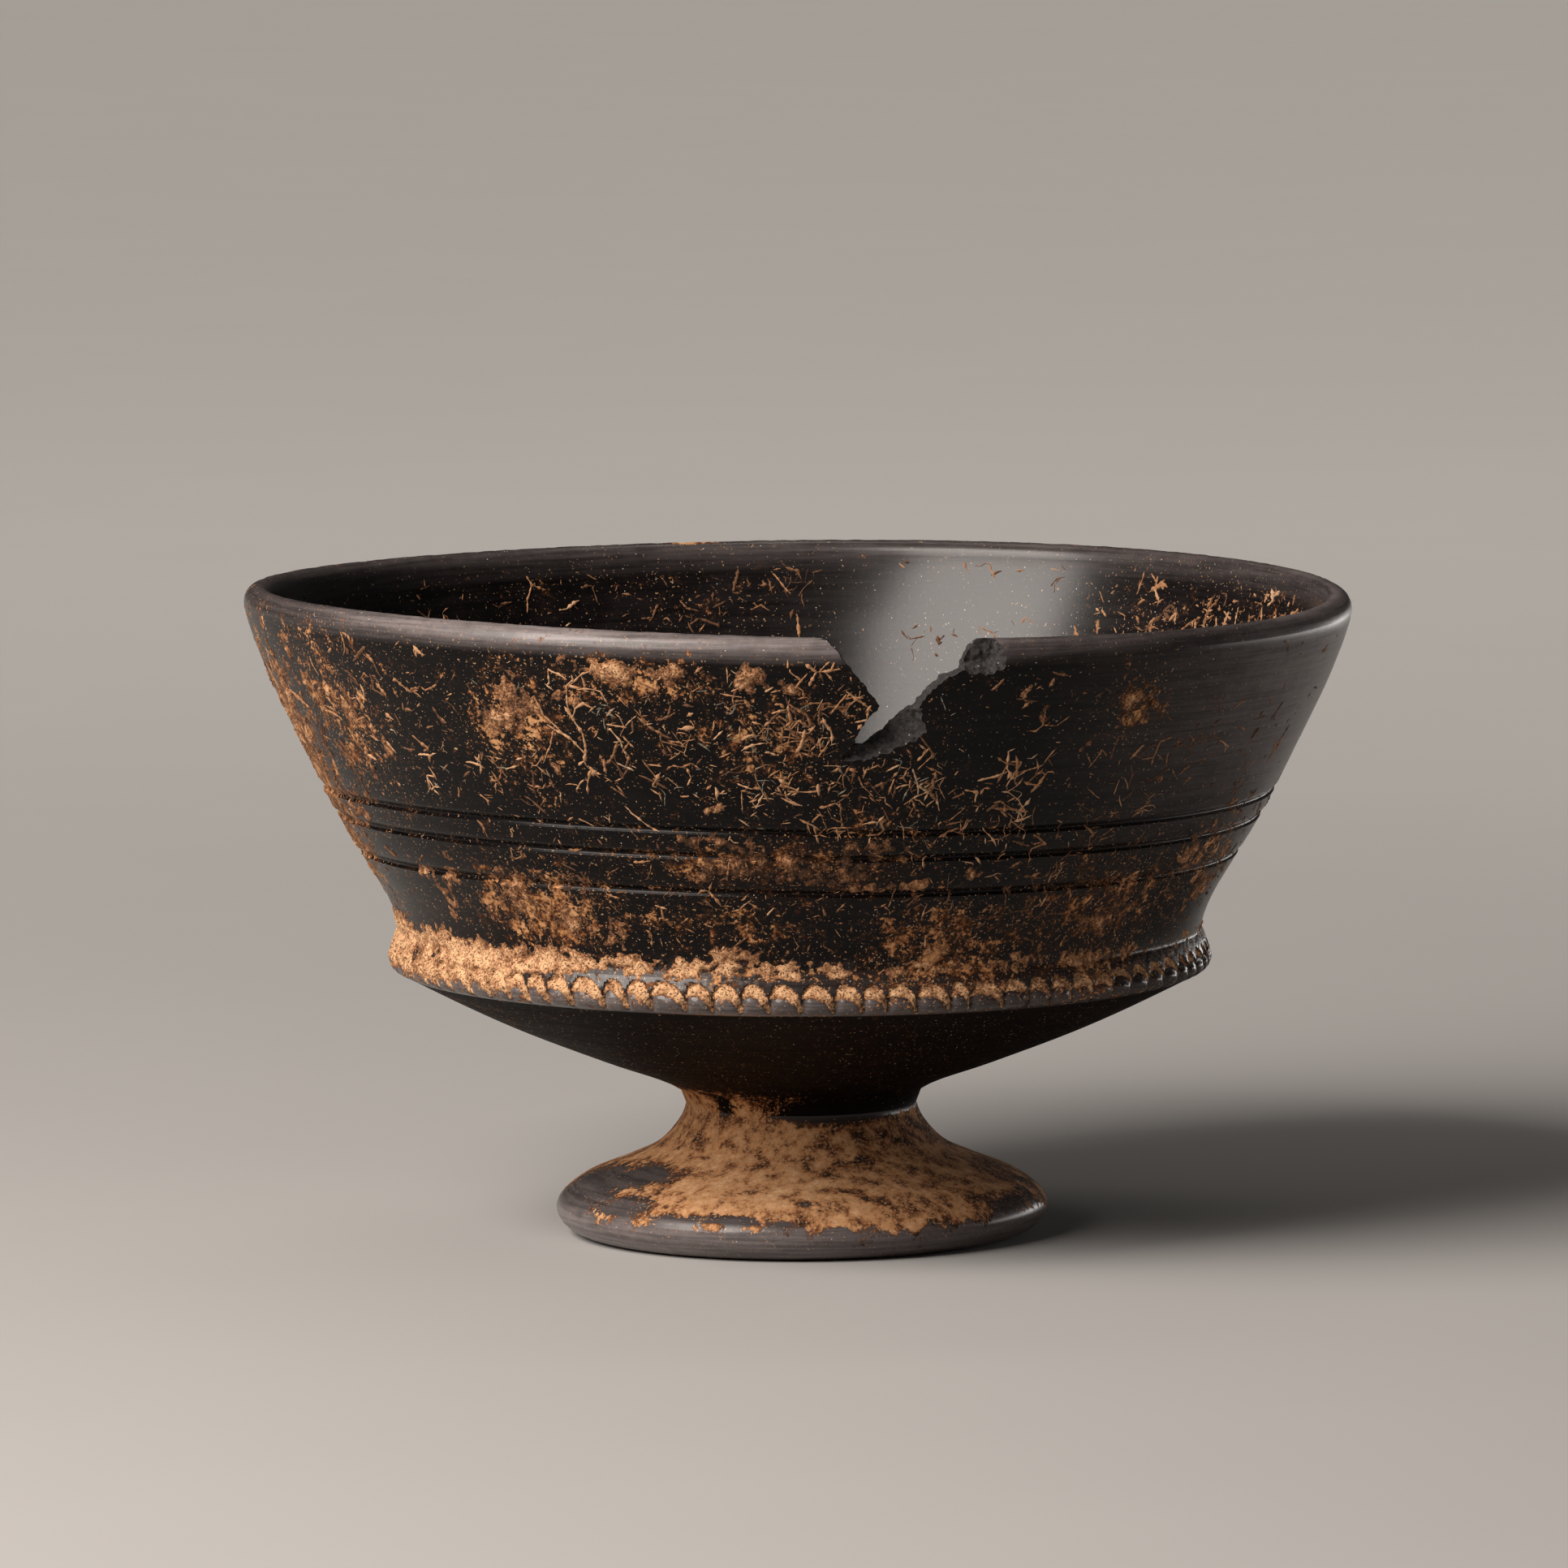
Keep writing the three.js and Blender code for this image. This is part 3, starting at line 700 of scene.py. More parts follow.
roots = {
    "step": 0.22, "sink": 0.03, "tall": 0.75, "radius": 62,
    "low": cornerHeight + 0.6, "high": 79.4, "breakMargin": 0.5,
    # how strands run, in radians from the horizontal, and how long each is as a share of its cluster's length
    "headings": (0.2, 0.75, 2.3, 1.2, -0.6), "headingSpread": 0.45, "shares": (0.3, 0.45, 0.6, 0.9, 1.5),
    "wander": 0.07, "kink": 0.8, "kinkChance": 0.08, "branchChance": 0.05, "branchOrders": 2, "branchWidth": 0.8,
    "widths": (0.45, 1.3), "knobs": (0.45, 0.7, 0.9, 1.1, 1.9), "palest": -0.4, "toneSpread": 0.2,
    "clusters": [
        # turn, height, spread in mm along and up, count, mean length, half width, tone from pale 0 to brown 1
        (-9, 73.5, 7, 3, 42, 2.4, 0.15, 0.35), (-3, 69, 9, 4.4, 84, 2.5, 0.14, 0.4),
        (2, 71.5, 5, 3.2, 30, 2.2, 0.16, 0.45), (-10, 65, 7, 3, 44, 2.2, 0.14, 0.35),
        (-1, 62.5, 5.5, 2.4, 60, 2, 0.12, 0.3), (-21, 65.2, 1.6, 2.4, 14, 4.6, 0.15, 0.3),
        (12, 62.5, 5, 3, 60, 2, 0.13, 0.4), (24.6, 62, 1.8, 3.6, 26, 3.6, 0.14, 0.3),
        (39, 60.5, 4.5, 4, 60, 2.2, 0.11, 0.5), (48, 67.5, 3.2, 2.2, 44, 2, 0.11, 0.6),
        (24.5, 74.6, 1.6, 2, 10, 1.8, 0.17, 0.5), (37.5, 73.5, 2.6, 2.4, 22, 1.6, 0.14, 0.9),
        (-54, 72.5, 4.5, 4.5, 46, 2.2, 0.16, 0.5), (-44, 72, 5, 4, 34, 1.4, 0.12, 0.5),
        (-40, 63, 5, 2.6, 34, 1.8, 0.13, 0.3), (-31, 60, 5, 3, 30, 1.8, 0.12, 0.4),
        (-66, 64, 6, 7, 60, 3, 0.17, 0.7), (-26, 50, 9, 4, 70, 1.6, 0.13, 0.5),
        (-6, 46, 10, 3.4, 70, 1.5, 0.13, 0.5), (20, 46.5, 8, 4, 70, 1.5, 0.12, 0.6),
        (16, 56, 8, 3, 40, 1.8, 0.12, 0.4), (33, 52, 5, 4, 34, 1.8, 0.12, 0.6),
        (62, 66, 6, 5, 34, 1.8, 0.12, 0.7), (70, 52, 6, 5, 30, 1.8, 0.13, 0.6),
        (-20.5, 72.2, 0.8, 0.7, 16, 0.8, 0.13, -0.4), (-4, 68.5, 8.5, 5, 70, 1.4, 0.09, -0.35),
        (10, 63, 9, 4, 40, 1.4, 0.08, -0.3), (-30, 66, 9, 6, 40, 0.9, 0.08, -0.2),
        (105, 62, 14, 9, 60, 2.4, 0.15, 0.5), (150, 66, 16, 8, 90, 2.4, 0.15, 0.4),
        (-165, 58, 16, 9, 80, 2.4, 0.15, 0.5), (-120, 62, 14, 9, 70, 2.4, 0.15, 0.5),
    ],
    "inside": [
        (131, 72.5, 8, 4, 90, 2, 0.17, 0.4), (114, 76, 6, 2.6, 70, 1.8, 0.16, 0.4),
        (100, 74, 7, 4, 60, 2.2, 0.17, 0.4), (-170, 74.5, 5, 3, 30, 2, 0.17, 0.6),
        (-154, 76, 6, 3, 24, 1.8, 0.16, 0.5), (178, 77, 5, 2.4, 22, 1.8, 0.16, 0.6),
        (157, 78.6, 8, 0.8, 16, 2.6, 0.15, 0.4), (-135, 76, 9, 4, 30, 1.6, 0.15, 0.5),
        (160, 69.5, 6, 4, 16, 1.4, 0.15, 0.7), (20, 66, 16, 8, 40, 2, 0.15, 0.5),
        (-60, 64, 16, 8, 40, 2, 0.15, 0.5), (-100, 60, 14, 8, 30, 2, 0.15, 0.5),
    ],
}


def growStrands(cluster, draw):
    # plane places (turn, height) of each strand and its branches
    turnAt, zAt, along, up, count, length, width, tone = cluster
    r = roots
    strands = []
    for _ in range(count):
        start = (math.radians(turnAt) + draw.gauss(0, along) / r["radius"], zAt + draw.gauss(0, up))
        heading = draw.choice(r["headings"]) + draw.gauss(0, r["headingSpread"])
        reach = length * draw.choice(r["shares"]) * draw.uniform(0.7, 1.2)
        jobs = [(start, heading, reach, width * draw.uniform(*r["widths"]), 0)]
        shade = min(1, max(r["palest"], tone + draw.gauss(0, r["toneSpread"])))
        while jobs:
            place, angle, left, half, order = jobs.pop()
            path = [place]
            while left > 0:
                angle += draw.gauss(0, r["wander"]) + (
                    draw.gauss(0, r["kink"]) if draw.random() < r["kinkChance"] else 0)
                place = (place[0] + math.cos(angle) * r["step"] / r["radius"],
                         place[1] + math.sin(angle) * r["step"])
                path.append(place)
                left -= r["step"]
                if order < r["branchOrders"] and draw.random() < r["branchChance"]:
                    side = draw.choice((-1, 1)) * draw.uniform(0.6, 1.3)
                    shorter = draw.uniform(0.3, 0.8) * reach
                    jobs.append((place, angle + side, shorter, half * r["branchWidth"], order + 1))
            if len(path) > 3:
                strands.append((np.array(path), half, shade))
    return strands


def threadMesh(strands, radiusOf, side, draw):
    # each strand ends where it meets the ridge, the lip or the break
    points, faces, tones, start = [], [], [], 0
    for path, half, shade in strands:
        turn, z = path[:, 0], path[:, 1]
        good = (z > roots["low"]) & (z < roots["high"]) & ~inBreak(turn, z, roots["breakMargin"])
        if not good.all():
            turn, z = turn[:np.argmin(good)], z[:np.argmin(good)]
        if len(turn) < 4:
            continue
        centre = onAxis(turn, radiusOf(turn, z), z)
        normal = outward(turn, z, 0.2, side)
        ahead = np.gradient(centre, axis=0)
        ahead /= np.linalg.norm(ahead, axis=1)[:, None]
        across = np.cross(normal, ahead)
        count = len(turn)
        taper = np.minimum(1, (np.minimum(np.arange(count), np.arange(count)[::-1]) + 0.6) / 2.4)
        knob = np.array([draw.choice(roots["knobs"]) for _ in range(count + 1)])
        knob = (knob[1:] * 2 + knob[:-1]) / 3
        wide = (half * taper * knob)[:, None]
        tall = wide * roots["tall"]
        sunk, raised = -normal * roots["sink"], normal * tall
        rows = [centre - across * wide + sunk, centre - across * wide * 0.5 + raised,
                centre + across * wide * 0.5 + raised, centre + across * wide + sunk]
        points.append(np.stack(rows, axis=1).reshape(-1, 3))
        k = np.arange(count - 1)[:, None] * 4 + np.arange(3)[None, :]
        faces.append(np.stack([k, k + 4, k + 5, k + 1], axis=-1).reshape(-1, 4) + start)
        tones.append(np.full(count * 4, shade))
        start += count * 4
    return np.concatenate(points), np.concatenate(faces), np.concatenate(tones)


rootDraw = random.Random(19)
outside = [strand for cluster in roots["clusters"] for strand in growStrands(cluster, rootDraw)]
inside = [strand for cluster in roots["inside"] for strand in growStrands(cluster, rootDraw)]
rootPiece = addDressing("rootMarks", "rootMark", "tone", [
    threadMesh(outside, outerRadius, 1, rootDraw), threadMesh(inside, innerRadius, -1, rootDraw)])
print("root marks:", len(outside) + len(inside), "strands,", len(rootPiece.data.polygons), "faces")

# films, rust and wear on the clay, with painted shade and painted sheen among them, kept as values on its points

amounts = {
    # film of soil: the wall, its left, its ledge and its patches, then the inside, the underside and the foot
    "wall": 0.13, "wallLeft": 0.05, "ledge": 0.14, "patch": 0.6, "inside": 0.07, "insideLow": 0.06,
    "under": 0.14, "underNeck": 0.7, "underLeft": 0.16, "underWashed": 0.7,
    "footBare": 0.22, "footCovered": 0.57, "footWashed": 0.6, "footRest": 0.5,
    # rust stains; on the foot also a browning on its right, away from the key lamp, which is painted shade, and a
    # browning towards the neck
    "rustLow": 0.22, "rustPatch": 0.5, "rustUnder": 0.3, "rustInside": 0.1,
    "rustFoot": 0.1, "rustShaded": 0.45, "brownerNeck": 0.45,
    # grey, partly wear and partly painted highlight and sheen: the lip, the wall's right, the foot's edge and the
    # lobes
    "lipInside": 0.3, "lipFar": 0.3, "lipNear": 0.7, "rightWall": 0.6, "footEdge": 0.8, "foot": 0.4,
    "lobe": 0.2, "lobeLeft": 0.48, "ridge": 0.12,
}
a = amounts
clayAll = readRows(broken.vertices, "co") / mm
flat = unwarped(clayAll)
turn, z = np.arctan2(flat[:, 0], -flat[:, 1]), flat[:, 2]
reach = np.hypot(flat[:, 0], flat[:, 1])
isInside = (z > cornerHeight) & (reach < wallRadius(z) - vessel["wallThickness"] * 0.75)
isInside |= (z > 24) & (z <= cornerHeight + 0.01) & (reach < undersideRadius(np.minimum(z, ridgeLow)) - 1.5)
onFoot = z < neck
onUnder = (z >= neck) & (z < ridgeLow - 0.1) & ~isInside
outsideWall = ~isInside & (z > ridgeLow)
notBehind = smoothStep(-3.1, -2.3, turn)       # so that nothing jumps where the turn passes from -180 to 180

film = np.zeros(len(z))
onLedge = smoothStep(40.0, 39.0, z)
dusty = a["wall"] + a["wallLeft"] * smoothStep(0.2, -0.6, turn) * notBehind + a["ledge"] * onLedge
film[outsideWall] = (dusty + a["patch"] * patchField(turn, z, films["outside"]))[outsideWall]
dusty = a["inside"] + a["insideLow"] * smoothStep(50, 30, z)
film[isInside] = (dusty + a["patch"] * patchField(turn, z, films["inside"]))[isInside]
nearNeck = a["underNeck"] * smoothStep(21, 16.4, z) * smoothStep(0.35, -0.5, turn) * notBehind
film[onUnder] = (a["under"] + nearNeck + a["underLeft"] * smoothStep(-0.5, -1.3, turn) * notBehind)[onUnder]
washed = patchField(turn, z, films["clayOnFoot"], reach)
border = 4.0 + 0.5 * np.sin(turn + 2.6) + 1.5 * noiseAt(flat, 6.0, 3, 31)
border += 1.5 * noiseAt(flat * (1, 1, 0.4), 2.2, 2, 33)
covered = a["footCovered"] * smoothStep(-0.6, 0.7, z - border)
film[onFoot] = (a["footBare"] + covered - a["footWashed"] * washed)[onFoot]
film[onUnder] -= a["underWashed"] * washed[onUnder]
film[z < 0.2] = a["footRest"]
addValues(broken, "film", film)

rust = a["rustLow"] * smoothStep(48, 40, z) + a["rustPatch"] * patchField(turn, z, films["rusty"])
rust[onUnder] = a["rustUnder"]
# the foot is browner on its right, away from the key lamp: painted shade; it is also browner towards the neck
shaded = smoothStep(-0.5, 0.9, turn) * smoothStep(3.2, 2.0, np.abs(turn))
rust[onFoot] = (a["rustFoot"] + a["rustShaded"] * shaded + a["brownerNeck"] * smoothStep(9, 14, z))[onFoot]
rust[isInside] = a["rustInside"]
addValues(broken, "rust", rust)

# the grey is painted highlight and sheen, partly wear: greyer on the near lip than the far one, on the wall's right
# where the side lamp grazes it, on the left lobes towards the key lamp, and on the foot's edge
nearSide = a["lipFar"] + a["lipNear"] * smoothStep(0.95, 0.25, np.abs(turn + 0.3))
rightSide = smoothStep(0.4, 1.25, turn) * smoothStep(2.6, 1.8, turn) * outsideWall
lobeGrey = a["lobe"] + a["lobeLeft"] * smoothStep(0.9, -0.6, turn) * notBehind
lobeGrey = lobeGrey * smoothStep(0.25, -0.1, stampPlace(turn, z)[3]) * outsideWall * (z < cornerHeight - 2)
worn = np.max([
    smoothStep(78.5, 81.2, z) * np.where(isInside, a["lipInside"], nearSide),
    a["rightWall"] * rightSide * smoothStep(46, 76, z),
    a["footEdge"] * smoothStep(6.2, 3.6, z) * (reach > 24.6),
    a["foot"] * onFoot, lobeGrey, a["ridge"] * (z > ridgeLow) * (z < cornerHeight + 0.5),
], axis=0)
worn[(z > neck + 1) & (z < ridgeLow + 0.05) & ~isInside] = 0
addValues(broken, "worn", worn)
writePoints(broken, toBox(clayAll))

# materials


def linearColour(code):
    values = [int(code[i:i + 2], 16) / 255 for i in (1, 3, 5)]
    return [v / 12.92 if v <= 0.04045 else ((v + 0.055) / 1.055) ** 2.4 for v in values] + [1.0]


def addNode(tree, name, kind, settings, links):
    # settings go to the node's own properties or to its inputs; a link is "node" or "node.output"
    node = tree.nodes.new(kind)
    node.name = node.label = name
    for key, value in settings.items():
        if key == "ramp":
            stops = node.color_ramp.elements
            while len(stops) < len(value):
                stops.new(0.5)
            for stop, (place, code) in zip(stops, value):
                stop.position, stop.color = place, linearColour(code)
        elif isinstance(key, str) and hasattr(node, key):
            setattr(node, key, value)
        else:
            isHex = isinstance(value, str) and value.startswith("#")
            node.inputs[key].default_value = linearColour(value) if isHex else value
    for key, source in links.items():
        origin, output = source.split(".") if "." in source else (source, "0")
        output = int(output) if output.isdigit() else output
        tree.links.new(tree.nodes[origin].outputs[output], node.inputs[key])
    return node


def fillMaterial(material, rows):
    # every material starts from the place on the piece in mm, and its skin goes to the output
    material.use_nodes = True
    tree = material.node_tree
    tree.nodes.clear()
    first = [("place", "ShaderNodeTexCoord", {}, {}),
             ("inMm", "ShaderNodeVectorMath", {"operation": "SCALE", "Scale": 1 / mm}, {0: "place.Object"})]
    for row in first + rows + [("output", "ShaderNodeOutputMaterial", {}, {"Surface": "skin"})]:
        addNode(tree, *row)


# rows for addNode


def grains(name, size, detail, roughness=0.5, distortion=0.0, source="inMm"):
    # noise whose largest grains have a size in mm
    settings = {"Scale": 1 / size, "Detail": detail, "Roughness": roughness, "Distortion": distortion}
    return name, "ShaderNodeTexNoise", settings, {"Vector": source}


def stored(name):
    # a value kept on the piece's points
    return name, "ShaderNodeAttribute", {"attribute_name": name}, {}


def product(name, one, other):
    return name, "ShaderNodeMath", {"operation": "MULTIPLY"}, {0: one, 1: other}


def scaledSum(name, one, factor, other):
    # one times the factor, plus the other
    return name, "ShaderNodeMath", {"operation": "MULTIPLY_ADD", 1: factor}, {0: one, 2: other}


def ranged(name, source, low, high, toLow=0.0, toHigh=1.0, kind="LINEAR"):
    # values from low to high brought to another range, and cut off beyond it
    settings = {"From Min": low, "From Max": high, "To Min": toLow, "To Max": toHigh, "interpolation_type": kind}
    return name, "ShaderNodeMapRange", settings, {"Value": source}


def blend(name, share, one, other):
    # two colours mixed by a share, each of them a hex code or another node's output
    settings, links = {"data_type": "RGBA"}, {0: share}
    for slot, colour in ((6, one), (7, other)):
        (settings if colour.startswith("#") else links)[slot] = colour
    return name, "ShaderNodeMix", settings, links


def nearCell(name, gap, radius):
    # specks one to a cell: the cells, and whether a place is within a speck's radius
    cells = (name + "Cells", "ShaderNodeTexVoronoi", {"Scale": 1 / gap}, {"Vector": "inMm"})
    near = (name + "Near", "ShaderNodeMath", {"operation": "LESS_THAN", 1: radius}, {0: name + "Cells.Distance"})
    return [cells, near]


def relief(strength, depth, source):
    # bumps of a depth in mm
    return "bump", "ShaderNodeBump", {"Strength": strength, "Distance": depth * mm}, {"Height": source}


def skin(colour, settings, links):
    return "skin", "ShaderNodeBsdfPrincipled", settings, {"Base Color": colour, **links}


bumped = {"Normal": "bump"}

# Bucchero: fine clay fired black without air and burnished with a smooth stone before firing. The eye sees
# a soft charcoal sheen with faint lines round it, white mica specks, rusty stains and a thin film of soil.
# Its pale grey is partly wear and partly painted sheen; its rusty brown on the foot's right is painted shade.
buccheroLook = {
    # the pale grey below is wear and painted sheen; the dark brown is rust and, on the foot's right, painted shade
    "black": "#0b0909", "grey": "#1c1818", "worn": "#857b7a", "rustAndShadeBrown": "#25140b",
    "halo": "#412715", "dustColour": "#b08a66", "dust": 0.34,
    "soil": [(0.34, "#2f1b0e"), (0.43, "#77492a"), (0.52, "#bd885a"), (0.7, "#dfb388")],
    "mica": "#cfcac4", "roughness": (0.23, 0.25), "wornRoughness": 0.32, "ior": 1.5, "specular": 0.31,
    "streakWide": 14.0, "streakFine": 0.45, "cloud": 7.0, "speck": 0.55, "blotch": 2.6, "mottle": 2.4,
    "micaGap": 1.5, "micaShare": 0.045,      # mm between flakes, and a flake's radius as a share of that
    "soilRoughness": 0.9,
}


def clayRows(b):
    return [
        ("round", "ShaderNodeMapping", {"Scale": (1 / b["streakWide"], 1 / b["streakWide"], 1 / b["streakFine"])},
         {"Vector": "inMm"}),
        grains("streaks", 1, 4, 0.6, source="round"),
        grains("cloud", b["cloud"], 5, 0.6),
        grains("blotch", b["blotch"], 8, 0.68, 0.3),
        grains("speck", b["speck"], 3, 0.6),
        stored("film"), stored("rust"), stored("worn"),
        product("turning", "streaks", "worn.Fac"),
        # clay from black to grey by cloud and streak
        product("tone", "cloud", "streaks"),
        ranged("toneWide", "tone", 0.16, 0.36),
        blend("clayBlack", "toneWide", b["black"], b["grey"]),
        # the grey of wear and painted sheen, mottled
        scaledSum("handled", "blotch", 0.6, "streaks"),
        ranged("handledShare", "handled", 0.65, 0.95, 0.45),
        product("wornShare", "worn.Fac", "handledShare"),
        blend("clayColour", "wornShare", "clayBlack.2", b["worn"]),
        # rusty brown on the clay, and on the foot's right painted shade
        product("rustNoise", "rust.Fac", "blotch"),
        ranged("rustShare", "rustNoise", 0.1, 0.5, 0.0, 0.85),
        blend("stainedAndShaded", "rustShare", "clayColour.2", b["rustAndShadeBrown"]),
        # film of soil where film, blotch and speck together are high, with a brown halo round it
        scaledSum("patchy", "blotch", 1.25, "film.Fac"),
        scaledSum("patchier", "speck", 0.8, "patchy"),
        ranged("soilShare", "patchier", 1.45, 1.53, kind="SMOOTHSTEP"),
        grains("mottle", b["mottle"], 9, 0.72),
        ranged("thickness", "patchier", 1.45, 1.75, -0.08, 0.05),
        # the soil film is browner with rust, and on the foot's right with painted shade
        scaledSum("browner", "rust.Fac", -0.12, "thickness"),
        scaledSum("soilTone", "mottle", 1.0, "browner"),
        ("soilColour", "ShaderNodeValToRGB", {"ramp": b["soil"]}, {"Fac": "soilTone"}),
        ranged("haloShare", "patchier", 1.34, 1.49, 0.0, 0.62),
        blend("haloed", "haloShare", "stained.2", b["halo"]),
        blend("covered", "soilShare", "haloed.2", "soilColour"),
        # dust: pale specks left in the pores
        grains("dust", b["dust"], 2),
        scaledSum("dustier", "film.Fac", 0.2, "dust"),
        ranged("dustShare", "dustier", 0.71, 0.75, 0.0, 0.85),
        blend("dusted", "dustShare", "covered.2", b["dustColour"]),
        # mica, drawn 0.13 mm wide so that it shows
        *nearCell("mica", b["micaGap"], b["micaShare"]),
        blend("withMica", "micaNear", "dusted.2", b["mica"]),
        # shine: streaked by the burnishing, lost under soil
        ranged("shine", "streaks", 0.35, 0.65, *b["roughness"]),
        ("polish", "ShaderNodeMix", {"data_type": "FLOAT", 3: b["wornRoughness"]}, {0: "worn.Fac", 2: "shine"}),
        ("dull", "ShaderNodeMix", {"data_type": "FLOAT", 3: b["soilRoughness"]}, {0: "soilShare", 2: "polish"}),
        scaledSum("burnish", "streaks", 0.12, "turning"),
        scaledSum("relief", "soilShare", 0.6, "burnish"),
        scaledSum("reliefFine", "speck", 0.35, "relief"),
        relief(0.4, 0.035, "reliefFine"),
        skin("withMica.2", {"IOR": b["ior"], "Specular IOR Level": b["specular"]}, {"Roughness": "dull", **bumped}),
    ]


fillMaterial(slots["burnishedBucchero"], clayRows(buccheroLook))

# Plain bucchero: the same clay under the bowl, where the burnisher hardly reached. Nearly black, brown from the
# ground, without the sheen of the wall; its darker black and grey are painted shade under the bowl.
plainShadedLook = dict(buccheroLook, black="#060404", grey="#0f0907", roughness=(0.55, 0.65), specular=0.04)
fillMaterial(slots["plainShadedBucchero"], clayRows(plainShadedLook))

# Wall bucchero: the outer wall, burnished less closely than the lip, with a darker black and grey that are painted
# shade, so it stays near black beside a pale floor.
wallLook = dict(buccheroLook, black="#060505", grey="#110e0e", roughness=(0.25, 0.28), specular=0.14)
fillMaterial(slots["wallBucchero"], clayRows(wallLook))

# Broken clay: the unburnished body, torn open. Dark grey, granular, with small pale grains and no sheen.
brokenLook = {"dark": "#100e0e", "light": "#423e3d", "grit": "#8d857e", "grain": 0.45, "gritGap": 1.1}
b = brokenLook
fillMaterial(slots["brokenClay"], [
    grains("grain", b["grain"], 5, 0.7),
    ranged("grainTone", "grain", 0.35, 0.7),
    blend("body", "grainTone", b["dark"], b["light"]),
    *nearCell("grit", b["gritGap"], 0.1),
    blend("colour", "gritNear", "body.2", b["grit"]),
    relief(1.0, 0.25, "grain"),
    skin("colour.2", {"Roughness": 0.82, "IOR": 1.5}, bumped),
])

# Ochre soil: dried loam packed into the stamped half-moons and caked on the wall. Matt, crumbly, tan to
# orange-brown, with pits between its grains that the bump sinks and that are darkened with painted shade.
soilLook = {"dark": "#3a2312", "middle": "#946440", "pale": "#dbac80", "grain": 0.36, "cloud": 2.6, "pit": 0.24}
b = soilLook
fillMaterial(slots["ochreSoil"], [
    grains("grain", b["grain"], 3, 0.65),
    grains("cloud", b["cloud"], 5, 0.6),
    stored("thickness"),
    scaledSum("sum", "grain", 1.3, "cloud"),
    scaledSum("sumThick", "thickness.Fac", 0.5, "sum"),
    ranged("share", "sumThick", 0.8, 1.72),
    ("colour", "ShaderNodeValToRGB", {"ramp": [(0.08, b["dark"]), (0.42, b["middle"]), (0.82, b["pale"])]},
     {"Fac": "share"}),
    # pits between the grains: sunk by the bump, and darkened in colour as painted shade
    grains("pits", b["pit"], 1),
    ranged("pitShare", "pits", 0.56, 0.66, 0.0, 0.85),
    blend("pitted", "pitShare", "colour", b["dark"]),
    scaledSum("height", "pitShare", -0.8, "grain"),
    relief(0.9, 0.12, "height"),
    skin("pitted.2", {"Roughness": 0.93, "IOR": 1.45}, bumped),
])

# Root mark: lime and clay that set round a rootlet. Pale tan to rusty, matt, knobbly.
rootLook = {"lime": "#6c6c60", "pale": "#c79c76", "middle": "#9e6f49", "brown": "#5f3d24", "grain": 0.4}
b = rootLook
fillMaterial(slots["rootMark"], [
    grains("grain", b["grain"], 3, 0.6),
    stored("tone"),
    scaledSum("sum", "grain", 0.8, "tone.Fac"),
    ("colour", "ShaderNodeValToRGB",
     {"ramp": [(0.1, b["lime"]), (0.36, b["pale"]), (0.78, b["middle"]), (1.0, b["brown"])]}, {"Fac": "sum"}),
    relief(0.7, 0.06, "grain"),
    skin("colour", {"Roughness": 0.85, "IOR": 1.5}, bumped),
])

# Plain floor: matt paper, with the faintest cloud so that it isn't dead flat.
floorLook = {"pale": "#aeacaa", "paler": "#b1afad", "cloud": 60.0}
b = floorLook
fillMaterial(slots["paleFloor"], [
    grains("cloud", b["cloud"], 2),
    blend("colour", "cloud", b["pale"], b["paler"]),
    skin("colour.2", {"Roughness": 0.8}, {}),
])
print("materials:", ", ".join(slots))

for piece in (clay, soilPiece, rootPiece):
    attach(piece, "root")
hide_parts("bowl")

# floor, lights and camera

stage = {
    "floorHalf": 5.5, "floorDrop": 0.00002,     # metres, as all places and sizes here
    "world": "#d8d6d4", "worldStrength": 0.04,
    "lights": [
        # name, place it points at, turn from the camera in degrees (+ right), elevation, distance, width,
        # height, spread in degrees, watts, colour
        ("keyLeft", (0, 0, 0.045), -50, 38, 0.9, 0.62, 0.6, 180, 14.5, "#fff6ee"),
        ("sideRight", (0, 0, 0.042), 122, 0, 0.6, 0.7, 0.066, 180, 0.75, "#f7f3f0"),
        ("floorWash", (0, 2.55, 0), 0, 90, 1.2, 6.0, 4.2, 70, 66, "#fff8f0"),
    ],
}


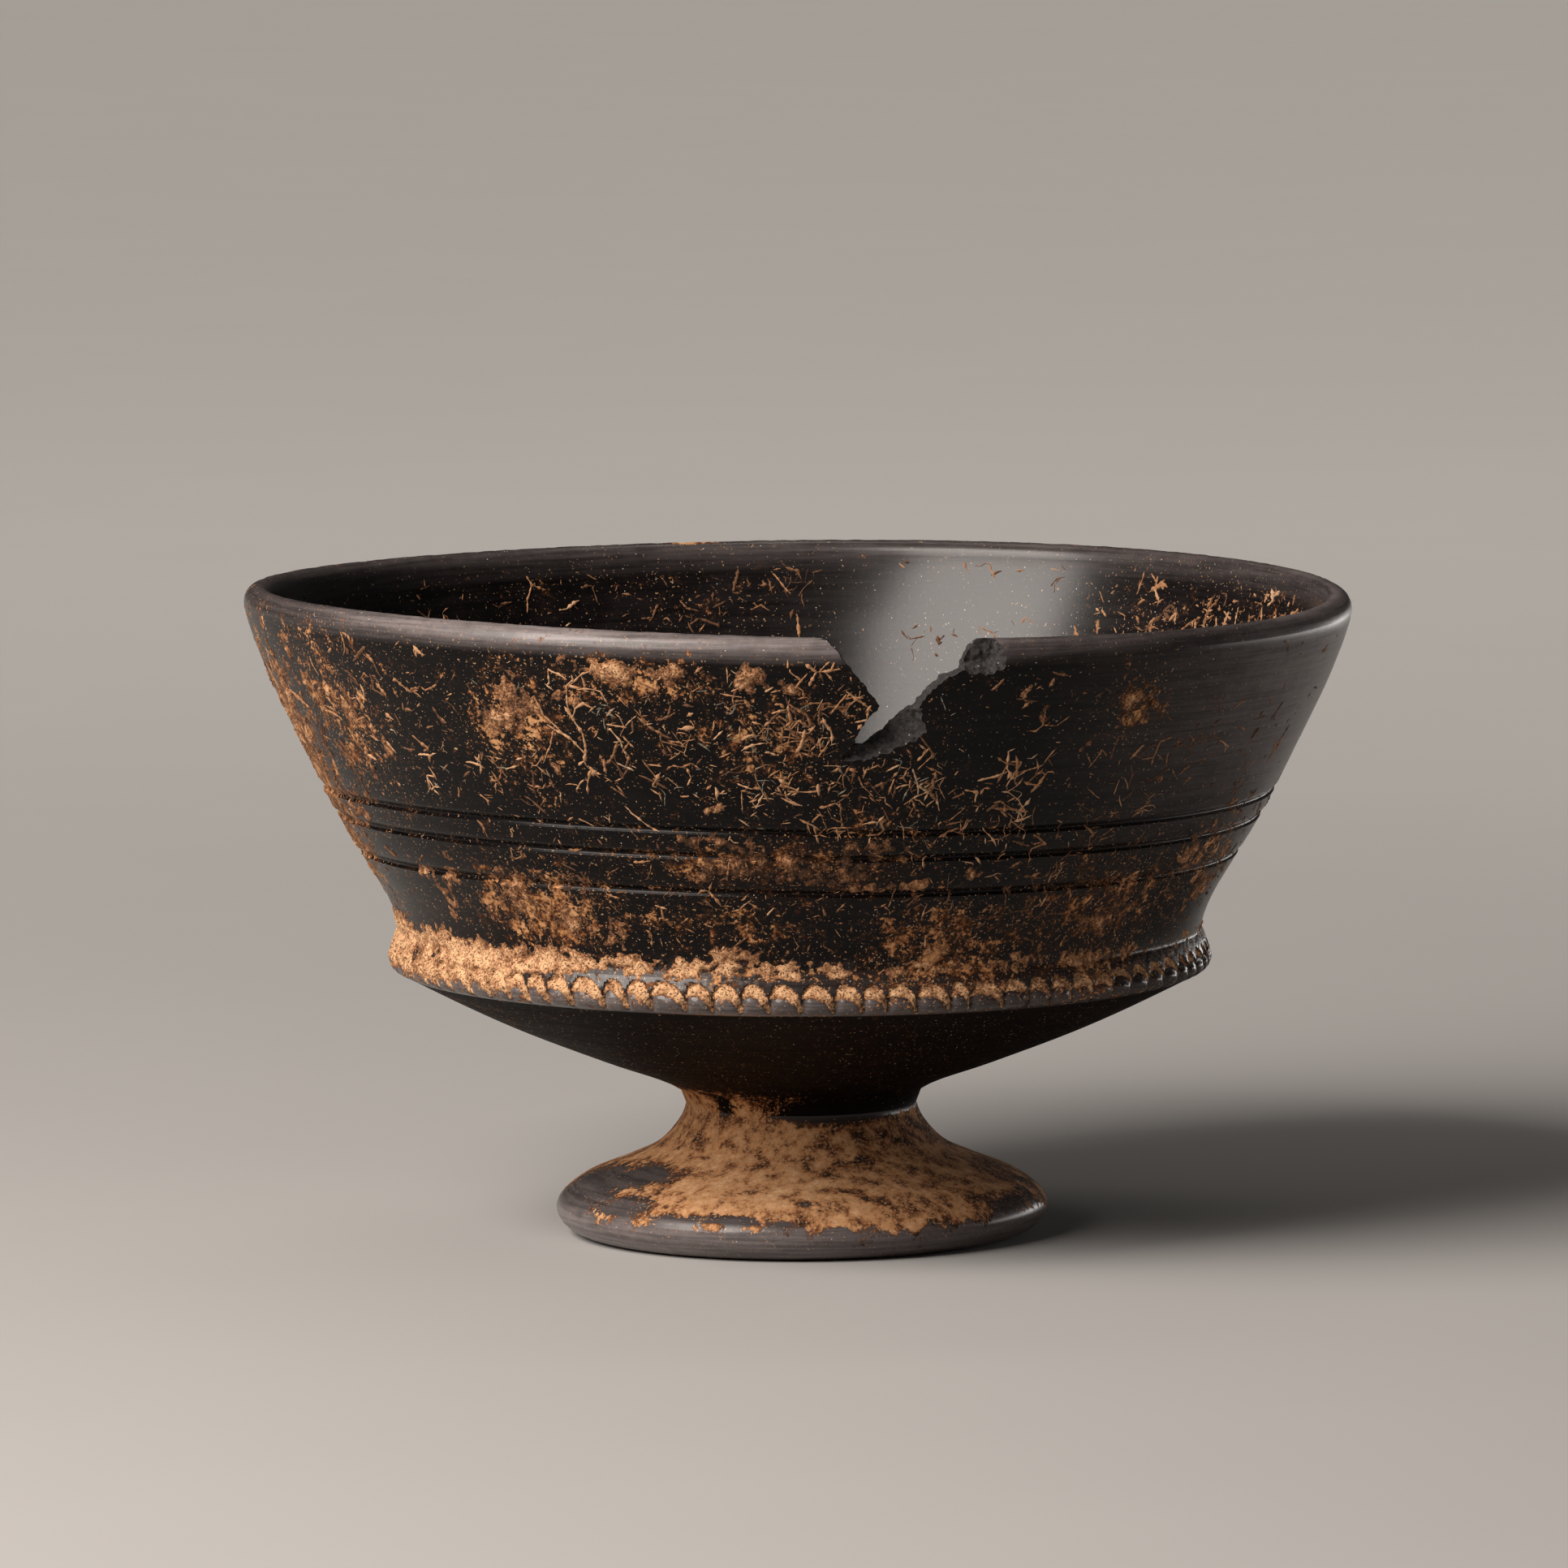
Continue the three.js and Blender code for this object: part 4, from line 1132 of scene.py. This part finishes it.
def addFloor():
    half, drop = stage["floorHalf"], stage["floorDrop"]
    mesh = bpy.data.meshes.new("floor")
    corners = [(-half, -half, -drop), (half, -half, -drop), (half, half, -drop), (-half, half, -drop)]
    mesh.from_pydata(corners, [], [(0, 1, 2, 3)])
    mesh.materials.append(slots["paleFloor"])
    floor = inScene("floor", mesh)


def addLight(name, aim, turn, elevation, distance, width, height, spread, watts, colour):
    light = bpy.data.lights.new(name, "AREA")
    light.shape, light.size, light.size_y = "RECTANGLE", width, height
    light.spread = math.radians(spread)
    light.energy, light.color = watts, linearColour(colour)[:3]
    holder = inScene(name, light)
    t, e = math.radians(turn), math.radians(elevation)
    away = Vector((math.sin(t) * math.cos(e), -math.cos(t) * math.cos(e), math.sin(e)))
    holder.location = Vector(aim) + away * distance
    holder.rotation_euler = away.to_track_quat("Z", "Y").to_euler()


addFloor()
for row in stage["lights"]:
    addLight(*row)
world = bpy.data.worlds.new("studio")
bpy.context.scene.world = world
world.use_nodes = True
sky = world.node_tree.nodes["Background"].inputs
sky["Color"].default_value, sky["Strength"].default_value = linearColour(stage["world"]), stage["worldStrength"]

# the photo's camera: place in mm, angles in degrees
view = {
    "place": (-1.91, -1519.8, 219.05), "pitch": 6.09, "roll": 0.4, "imageWide": 1932, "focalPixels": 14873.0,
    "sensor": 36.0, "clip": (0.05, 20.0),
}
bpy.context.scene.view_settings.view_transform = "Standard"
camera = bpy.data.cameras.new("view")
camera.sensor_width = view["sensor"]
camera.lens = view["focalPixels"] / view["imageWide"] * view["sensor"]
camera.clip_start, camera.clip_end = view["clip"]
cameraPiece = inScene("view", camera)
pitch, roll = math.radians(view["pitch"]), math.radians(view["roll"])
ahead = Vector((0, math.cos(pitch), -math.sin(pitch)))
level, upright = Vector((1, 0, 0)), Vector((0, math.sin(pitch), math.cos(pitch)))
right = math.cos(roll) * level - math.sin(roll) * upright
up = math.sin(roll) * level + math.cos(roll) * upright
turnMatrix = Matrix((right, up, -ahead)).transposed().to_4x4()
cameraPiece.matrix_world = Matrix.Translation(Vector(view["place"]) * mm) @ turnMatrix
bpy.context.scene.camera = cameraPiece
